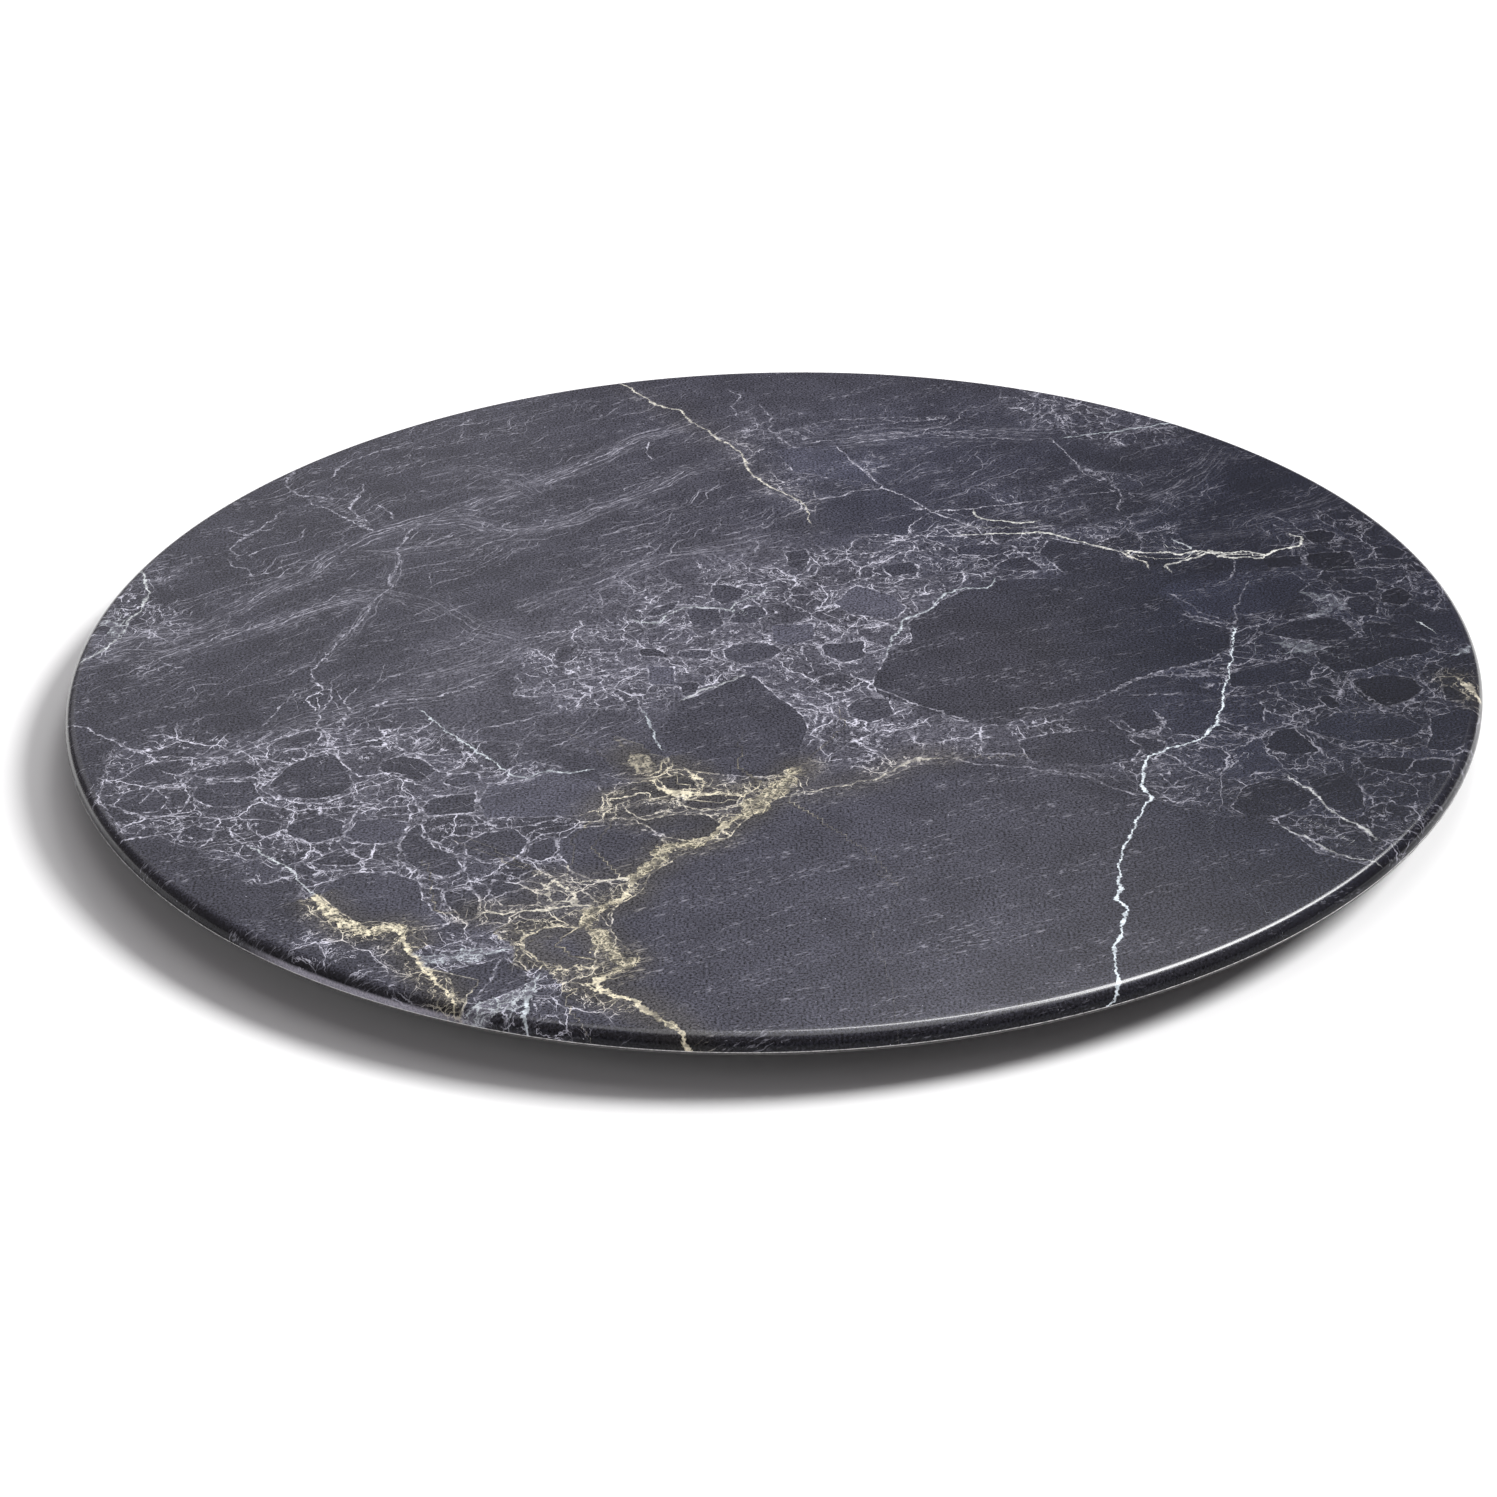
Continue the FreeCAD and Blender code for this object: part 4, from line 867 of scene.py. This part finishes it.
# Lines between broken stones of three sizes, each only inside broken ones of the size above,
# and the outlines of the stones that were drawn.
def drawNetwork(m, p):
    loose = m.stir(m.stir(m.stir(p.place, p.slow, 18.0), p.quick, 5.5), p.tiny, 1.5)
    largeGap, middleGap, smallGap = [m.cellGap(loose, pattern[name])
                                     for name in ("largeStones", "middleStones", "smallStones")]
    p.largeTones = m.cellTones(loose, pattern["largeStones"])
    middleTones = m.cellTones(loose, pattern["middleStones"])
    largeBroken = m.ease(p.largeTones[0], 0.42, 0.5)
    middleBroken = m.times(largeBroken, m.ease(middleTones[0], 0.45, 0.55))
    nearLarge = m.ease(largeGap, 3.2, 0.6)
    rubble = m.times(m.ease(p.stoneEdge, 5.0, 0.5), p.outside)
    p.crushed = m.most(middleBroken, nearLarge, rubble)

    large = m.times(m.ease(largeGap, 0.38, 0.05), m.between(p.come, 0.2, 1.0))
    middle = m.times(m.ease(middleGap, 0.30, 0.04), p.goFine, m.most(largeBroken, nearLarge))
    crumbly = m.ease(p.dusty, 0.1, 0.7, 0.15, 0.9)
    small = m.times(m.ease(smallGap, 0.25, 0.02), p.goFine, p.come, crumbly,
                    m.most(middleBroken, m.times(nearLarge, 0.9), rubble))
    curls = m.size(m.minus(m.noise(loose, pattern["curls"], detail=5, roughness=0.62)["Fac"], 0.5))
    curls = m.times(m.ease(curls, 0.009, 0.00225), m.between(p.come, 0.1, 0.9))
    network = m.most(large, m.times(middle, 0.85), m.times(small, 0.7), curls)
    outline = m.times(m.ease(m.size(p.stoneEdge), 0.45, 0.05), m.between(p.broken, 0.06, 1.0),
                      m.between(p.goFine, 0.15, 1.0), m.between(p.come, 0.4, 1.1))
    return m.most(m.times(network, p.broken, p.outside, 0.9), m.times(outline, 0.8))


# Fine drawn lines, and bundles of strands that follow their line.
def drawLines(m, p):
    distance, _, strength = m.stored("fineLine")
    gap = m.size(m.add(distance, m.times(p.jitter, 0.95)))
    fine = m.times(m.ease(gap, 0.55, 0.05), strength, m.between(p.goFine, 0.25, 1.0))
    distance, width, strength = m.stored("strandBundle")
    across = m.add(distance, m.times(m.minus(p.slow["Fac"], 0.5), 8.0), m.times(p.jitter, 0.35))
    strands = m.lanes(m.attribute("strandRun")["Fac"], across, lanes["strands"])
    p.bundle = m.times(m.ease(m.size(distance), m.times(width, 1.7), m.times(width, 0.2)), strength)
    return m.most(fine, m.times(strands, p.bundle, m.between(p.goFine, 0.45, 1.1), 0.68))


# Wisps that run up to the right, and a few steeper ones.
def drawWisps(m, p):
    swayed = m.stir(m.stir(p.place, p.slow, 22.0), p.quick, 3.2)
    turned = m.turn(swayed, pattern["wispTurn"])
    stretched = m.vector("MULTIPLY", turned, (0.24, 1.0, 1.0))
    p.gather = m.ease(m.noise(stretched, 18, detail=3)["Fac"], 0.44, 0.64)
    along, across, _ = m.split(turned)
    wisps = m.lanes(along, m.add(across, m.times(p.jitter, 0.3)), lanes["wisps"])
    along, across, _ = m.split(m.turn(swayed, pattern["steepTurn"]))
    steep = m.lanes(along, m.add(across, m.times(p.jitter, 0.4)), lanes["steepWisps"])
    return m.times(m.most(wisps, steep), p.streaky, p.outside, m.between(p.gather, 0.10, 1.0),
                   m.between(p.goFine, 0.4, 1.1), 0.56)


# Faint scratches and specks all over.
def drawScratches(m, p):
    swayed = m.stir(m.turn(p.place, pattern["scratchTurn"]), p.quick, 3.0)
    stretched = m.vector("MULTIPLY", swayed, (0.2, 1.0, 1.0))
    scratch = m.ease(m.noise(stretched, pattern["scratches"], detail=2, roughness=0.7)["Fac"], 0.56, 0.74)
    scratch = m.times(scratch, m.ease(m.noise(stretched, 12, detail=3)["Fac"], 0.46, 0.66))
    specks = m.ease(m.noise(p.place, pattern["specks"], detail=1, roughness=0.8)["Fac"], 0.81, 0.89)
    return m.most(m.times(scratch, 0.29), m.times(specks, 0.85))


# The stone with its tones and painted shade on the rounded edge, and dust between broken stones.
def shadeStone(m, p, flat):
    depth = marbleLook["grainDepth"]
    around = m.blendValue(p.broken, 1.0, m.between(p.largeTones[1], 0.85, 1.25))
    # the last factor is painted shade that darkens the print on the rounded edge
    tone = m.times(m.blendValue(p.inStone, around, p.stoneTone), m.ease(p.patchy, 0.3, 0.7, 0.88, 1.14),
                   m.ease(p.grain, 0.3, 0.7, 1 - depth, 1 + depth, kind="LINEAR"),
                   m.ease(p.reach, flat, flat + 5, 1.0, marbleLook["rimPaintedShade"]))
    body = m.shade(marbleLook["stone"], tone)
    dust = m.times(p.dusty, m.ease(p.patchy, 0.25, 0.7, 0.5, 1.2), 0.75)
    dust = m.most(dust, m.times(p.broken, p.crushed, 0.24))
    dust = m.times(dust, p.outside, m.ease(p.tiny["Fac"], 0.34, 0.66), m.ease(p.grain, 0.3, 0.7, 0.2, 1.0))
    wispy = m.times(p.streaky, p.gather, m.ease(p.grain, 0.4, 0.7), 0.10)
    dust = m.most(dust, m.times(p.bundle, 0.11), wispy)
    body = m.blend(m.atMostOne(dust), body, marbleLook["dust"])
    return m.tint(m.times(m.attribute("blueArea")["Fac"], 0.9), body, marbleLook["blueTint"])


# Bold veins: how much shows at each place, and its colour. Wide ones are a lace of strands and cells.
def drawVeins(m, p):
    look = marbleLook
    wide = m.ease(p.veinWidth, 1.2, 2.4)
    slim = m.most(m.ease(p.gold, 0.3, 0.8, look["paleVeinWidth"], 0.85), wide)
    swell = m.ease(m.noise(p.place, pattern["veinSwell"], detail=3)["Fac"], 0.3, 0.7, 0.45, 1.2)
    restless = m.times(m.ease(p.gold, 0.4, 0.8), m.ease(p.veinWidth, 2.0, 0.9), 0.8)
    restless = m.add(restless, m.ease(p.veinWidth, 1.0, 3.0, 0.9, 1.5))
    gap = m.size(m.add(p.veinDistance, m.times(p.jitter, restless)))
    vein = m.ease(m.minus(gap, m.times(p.veinWidth, swell, slim)), 0.35, -0.15)

    lacePlace = m.stir(m.stir(p.place, p.quick, 5.0), p.tiny, 2.2)
    across = m.add(p.veinDistance, m.times(p.jitter, 1.3))
    lace = m.most(m.lanes(m.attribute("veinRun")["Fac"], across, lanes["gold"]),
                  m.times(m.ease(m.cellGap(lacePlace, pattern["wideLace"]), 0.38, 0.10), 0.8),
                  m.times(m.ease(m.cellGap(lacePlace, pattern["tightLace"]), 0.24, 0.06), p.goFine, 0.8),
                  m.times(m.ease(p.tiny["Fac"], 0.42, 0.60), m.attribute("veinSolid")["Fac"]),
                  m.inverse(wide))
    color = m.blend(m.ease(p.gold, 0.0, 0.4), look["white"], look["cream"])
    color = m.blend(m.ease(p.gold, 0.4, 1.0), color, look["gold"])
    color = m.blend(m.ease(p.grain, 0.3, 0.7, 0.3, 0.0), color, look["goldShadow"])
    fill = m.blend(m.ease(p.gold, 0.3, 1.0), look["dust"], look["goldShadow"])
    share = m.times(vein, p.veinBright, m.between(p.goFine, 0.5, 1.1))
    return m.atMostOne(share), m.blend(lace, fill, color)


def marbleMaterial(size):
    look = marbleLook
    m = Recipe("marblePrint")
    p = startPrint(m)
    light = m.most(drawNetwork(m, p), drawLines(m, p), drawWisps(m, p), drawScratches(m, p))
    # painted shade: lines and stone are drawn darker toward +x, and the stone darker toward -x
    east = m.split(p.place)[0]
    light = m.times(m.atMostOne(light), m.ease(east, *look["rightRange"], 1.0, look["rightPaintedLineShade"]))
    paintedSideShade = m.times(m.ease(east, *look["rightRange"], 1.0, look["rightPaintedShade"]),
                    m.ease(east, *look["leftRange"], look["leftPaintedShade"], 1.0))
    body = m.shade(shadeStone(m, p, size.flat), paintedSideShade)

    # stone and lines beside gold take some of its colour
    nearGold = m.times(m.ease(p.gold, 0.2, 0.8), m.ease(m.size(p.veinDistance), 16, 3), 0.8)
    line = m.blend(m.times(nearGold, 1.1), look["line"], look["gold"])
    color = m.blend(light, m.tint(nearGold, body, look["nearGold"]), line)
    veinShare, veinColor = drawVeins(m, p)
    color = m.blend(veinShare, color, veinColor)

    # a painted reflection of the floor, a lighter stretch low on the rim, and the film's cut lower edge,
    # which shows its pale backing
    height = m.split(m.objectPlace())[2]
    toPaintedReflection = m.vector("LENGTH", m.vector("SUBTRACT", p.place, look["paintedReflectionPlace"]))
    paintedReflection = m.times(m.ease(toPaintedReflection, look["paintedReflectionReach"], look["paintedReflectionReach"] * 0.4),
                     m.ease(height, size.bottom + 3.6, size.bottom + 2.2),
                     m.ease(p.reach, size.flat + 4, size.flat + 5.5),
                     m.ease(p.grain, 0.3, 0.7, 0.6, 1.0), 0.8)
    color = m.blend(paintedReflection, color, look["paintedReflection"])
    cut = m.times(m.ease(height, size.bottom + 0.5, size.bottom + 0.35),
                  m.ease(p.tiny["Fac"], 0.3, 0.6, 0.5, 1.0))
    color = m.blend(cut, color, look["cutEdge"])

    gloss = m.add(m.ease(p.reach, size.flat - 0.7, size.flat + 0.4, look["roughness"], look["rimRoughness"]),
                  m.times(m.minus(p.grain, 0.5), 0.06), m.times(light, 0.05))
    sheen = m.ease(p.reach, size.flat, size.flat + 0.6, look["sheen"], look["glintSheen"])
    sheen = m.blendValue(m.ease(p.reach, size.flat + 4.4, size.flat + 6.4), sheen, look["rimSheen"])
    relief = m.add(p.grain, m.times(p.tiny["Fac"], 0.6))
    return m.finish(color=color, roughness=gloss, specular=sheen, bump=relief,
                    bumpHeight=look["reliefHeight"], bumpStrength=0.2)


filmMeasures = filmSize()
filmPiece = makeFilm(filmMeasures)
filmPiece.data.materials.append(marbleMaterial(filmMeasures))
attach(filmPiece, "turntable")
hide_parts("marble_film")
print("film made:", len(filmPiece.data.polygons), "faces")


# Finishes for the CAD nodes.
def giveFinish(node, material):
    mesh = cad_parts[node].data
    for number in range(len(mesh.materials)):
        mesh.materials[number] = material
    if not mesh.materials:
        mesh.materials.append(material)


backing = {
    "color": (0.030, 0.029, 0.031),
    "speck": (0.075, 0.072, 0.074),
    "lowerEdge": (0.34, 0.33, 0.32),
    "edgeHeight": (0.32, 0.12),       # mm above its underside, where the pale line starts and is full
    "edgeDepth": (0.6, 0.35),         # mm in from the rim, the same
}


def backingMaterial():
    m = Recipe("backingLaminate")
    place = m.objectPlace()
    grain = m.noise(place, 0.8, detail=3, roughness=0.7, flat=False)["Fac"]
    cloud = m.noise(place, 60, detail=3, flat=False)["Fac"]
    color = m.blend(m.ease(grain, 0.4, 0.75), backing["color"], backing["speck"])
    color = m.blend(m.ease(cloud, 0.35, 0.7, 0.0, 0.25), color, backing["speck"])
    low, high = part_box("backing_sheet")
    rim = m.ease(m.reach(place), *[high.x / mm - depth for depth in backing["edgeDepth"]])
    lower = m.ease(m.split(place)[2], *[low.z / mm + height for height in backing["edgeHeight"]])
    color = m.blend(m.times(rim, lower, m.ease(grain, 0.3, 0.6, 0.4, 1.0)), color, backing["lowerEdge"])
    return m.finish(color=color, roughness=m.ease(grain, 0.2, 0.8, 0.42, 0.56), bump=grain,
                    bumpHeight=0.00005, bumpStrength=0.4)


core = {"color": (0.40, 0.28, 0.17), "fibre": (0.24, 0.15, 0.08), "roughness": 0.85}


def coreMaterial():
    m = Recipe("fibreboard")
    pressed = m.vector("MULTIPLY", m.objectPlace(), (1.0, 1.0, 3.0))
    fibre = m.noise(pressed, 1.2, detail=4, roughness=0.7, flat=False)["Fac"]
    color = m.blend(m.ease(fibre, 0.3, 0.7), core["color"], core["fibre"])
    return m.finish(color=color, roughness=core["roughness"], bump=fibre, bumpHeight=0.0001, bumpStrength=0.5)


ringMetal = {
    "color": (0.72, 0.73, 0.745),
    "shade": (0.56, 0.57, 0.585),
    "roughness": (0.26, 0.46),
    "toolMarks": 0.22,                # mm between them
}


def ringMaterial():
    m = Recipe("turnedAluminium")
    place = m.objectPlace()
    turned = m.join(m.reach(place), m.split(place)[2])
    marks = m.noise(turned, ringMetal["toolMarks"], detail=3, roughness=0.6)["Fac"]
    cloud = m.noise(place, 14, detail=4, flat=False)["Fac"]
    shine = m.ease(m.add(marks, m.times(cloud, 0.5)), 0.5, 1.0)
    rough = m.ease(m.add(marks, m.times(cloud, 0.6)), 0.4, 1.1, *ringMetal["roughness"])
    color = m.blend(shine, ringMetal["shade"], ringMetal["color"])
    return m.finish(color=color, roughness=rough, metallic=1.0,
                    bump=marks, bumpHeight=0.00002, bumpStrength=0.5)


# Small metal parts. scratches is how large their scratches are, in mm.
metals = {
    "plugAluminium": dict(color=(0.66, 0.67, 0.69), roughness=0.35, scratches=0.9),
    "ballSteel": dict(color=(0.78, 0.79, 0.81), roughness=0.10, scratches=2.0),
    "screwZinc": dict(color=(0.70, 0.70, 0.69), roughness=0.30, scratches=0.7),
}


def metalMaterial(name):
    look = metals[name]
    m = Recipe(name)
    wear = m.noise(m.objectPlace(), look["scratches"], detail=4, roughness=0.65, flat=False)["Fac"]
    shade = tuple(value * 0.72 for value in look["color"])
    rough = m.ease(wear, 0.3, 0.7, look["roughness"] * 0.7, look["roughness"] * 1.4)
    color = m.blend(m.ease(wear, 0.35, 0.7), shade, look["color"])
    return m.finish(color=color, roughness=rough, metallic=1.0,
                    bump=wear, bumpHeight=0.00002, bumpStrength=0.3)


# Moulded parts. grain is how large their grain is, in mm.
plastics = {
    "cageNylon": dict(color=(0.80, 0.77, 0.69), shade=(0.70, 0.66, 0.57), roughness=0.48, grain=0.9),
    "footRubber": dict(color=(0.030, 0.030, 0.031), shade=(0.016, 0.016, 0.017), roughness=0.72, grain=0.45),
}


def plasticMaterial(name):
    look = plastics[name]
    m = Recipe(name)
    place = m.objectPlace()
    grain = m.noise(place, look["grain"], detail=3, roughness=0.6, flat=False)["Fac"]
    cloud = m.noise(place, look["grain"] * 12, detail=3, flat=False)["Fac"]
    mixed = m.ease(m.add(m.times(grain, 0.6), m.times(cloud, 0.4)), 0.38, 0.66)
    rough = m.ease(grain, 0.3, 0.7, look["roughness"] - 0.08, look["roughness"] + 0.08)
    return m.finish(color=m.blend(mixed, look["shade"], look["color"]), roughness=rough,
                    bump=grain, bumpHeight=0.00006, bumpStrength=0.5)


giveFinish("backing_sheet", backingMaterial())
giveFinish("board_core", coreMaterial())
ringFinish = ringMaterial()
for node in ("turning_ring", "base_ring"):
    giveFinish(node, ringFinish)
giveFinish("loading_plug", metalMaterial("plugAluminium"))
giveFinish("bearing_balls", metalMaterial("ballSteel"))
giveFinish("ball_cage", plasticMaterial("cageNylon"))
screwFinish = metalMaterial("screwZinc")
footFinish = plasticMaterial("footRubber")
for node in sorted(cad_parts):
    if node.startswith("ring_screw_"):
        giveFinish(node, screwFinish)
    if node.startswith("foot_"):
        giveFinish(node, footFinish)
print("finishes given to", len(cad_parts), "nodes")


room = {
    "floorHalf": 9.0,                 # metres
    "floorColor": (0.93, 0.93, 0.93),
    "worldColor": (1.0, 0.91, 0.98),
    "worldStrength": 0.115,
}


def makeFloor():
    half = room["floorHalf"]
    mesh = bpy.data.meshes.new("floor")
    corners = [(-half, -half, 0), (half, -half, 0), (half, half, 0), (-half, half, 0)]
    mesh.from_pydata(corners, [], [(0, 1, 2, 3)])
    floor = bpy.data.objects.new("floor", mesh)
    bpy.context.scene.collection.objects.link(floor)
    mesh.materials.append(Recipe("whiteTable").finish(color=room["floorColor"], roughness=0.8))


def makeWorld():
    world = bpy.data.worlds.new("studio")
    world.use_nodes = True
    back = world.node_tree.nodes["Background"]
    back.inputs["Color"].default_value = (*room["worldColor"], 1.0)
    back.inputs["Strength"].default_value = room["worldStrength"]
    scene = bpy.context.scene
    scene.world = world
    scene.view_settings.view_transform = "Standard"
    scene.view_settings.look = "None"


# Directions are round from +x and above level, in degrees. Sizes and distances are in metres.
softboxes = {
    "backSoftbox": dict(round=73, above=50, away=2.6, width=0.90, height=0.60, bright=7.4),
    "overhead": dict(round=60, above=82, away=3.0, width=2.2, height=2.2, bright=0.80),
    "backPanel": dict(round=114, above=27, away=3.4, width=2.2, height=1.3, bright=0.3),
    "rimStrip": dict(round=50, above=53, away=2.6, width=0.50, height=1.10, bright=9.0, glossOnly=True),
}
suns = {
    "shadowSun": dict(round=18, above=39, away=3.0, spread=23, bright=4.6),
    "frontFill": dict(round=-145, above=18, away=3.0, spread=60, bright=0.5),
}


def placeLight(name, lamp, make):
    around, above = math.radians(make["round"]), math.radians(make["above"])
    level = math.cos(above)
    place = Vector((level * math.cos(around), level * math.sin(around), math.sin(above))) * make["away"]
    holder = bpy.data.objects.new(name, lamp)
    holder.location = place
    holder.rotation_euler = (-place).to_track_quat("-Z", "Y").to_euler()
    bpy.context.scene.collection.objects.link(holder)
    return holder


def makeLights():
    for name, make in softboxes.items():
        lamp = bpy.data.lights.new(name, "AREA")
        lamp.shape = "RECTANGLE"
        lamp.size, lamp.size_y = make["width"], make["height"]
        lamp.energy = make["bright"] * make["width"] * make["height"] * 4
        placeLight(name, lamp, make).visible_diffuse = not make.get("glossOnly", False)
    for name, make in suns.items():
        sun = bpy.data.lights.new(name, "SUN")
        sun.energy, sun.angle = make["bright"], math.radians(make["spread"])
        placeLight(name, sun, make).visible_glossy = False


view = {
    "target": (-10.96, -78.35, 17.0),   # mm, the middle of the view
    "away": 1436.2,                     # mm from the target
    "down": 29.285,                     # degrees below level
    "roll": -1.584,                     # degrees
    "lens": 84.17,
}


def makeCamera():
    down, roll = math.radians(view["down"]), math.radians(view["roll"])
    forward = Vector((0, math.cos(down), -math.sin(down)))
    right = Vector((1, 0, 0))
    up = right.cross(forward)
    sideways = right * math.cos(roll) + up * math.sin(roll)
    upright = up * math.cos(roll) - right * math.sin(roll)
    turn = Matrix((sideways, upright, -forward)).transposed()
    camera = bpy.data.cameras.new("camera")
    camera.lens, camera.sensor_width = view["lens"], 36.0
    camera.clip_start, camera.clip_end = 0.05, 60.0
    holder = bpy.data.objects.new("camera", camera)
    place = (Vector(view["target"]) - forward * view["away"]) * mm
    holder.matrix_world = Matrix.Translation(place) @ turn.to_4x4()
    bpy.context.scene.collection.objects.link(holder)
    bpy.context.scene.camera = holder


makeFloor()
makeWorld()
makeLights()
makeCamera()
print("room, lights and camera set")
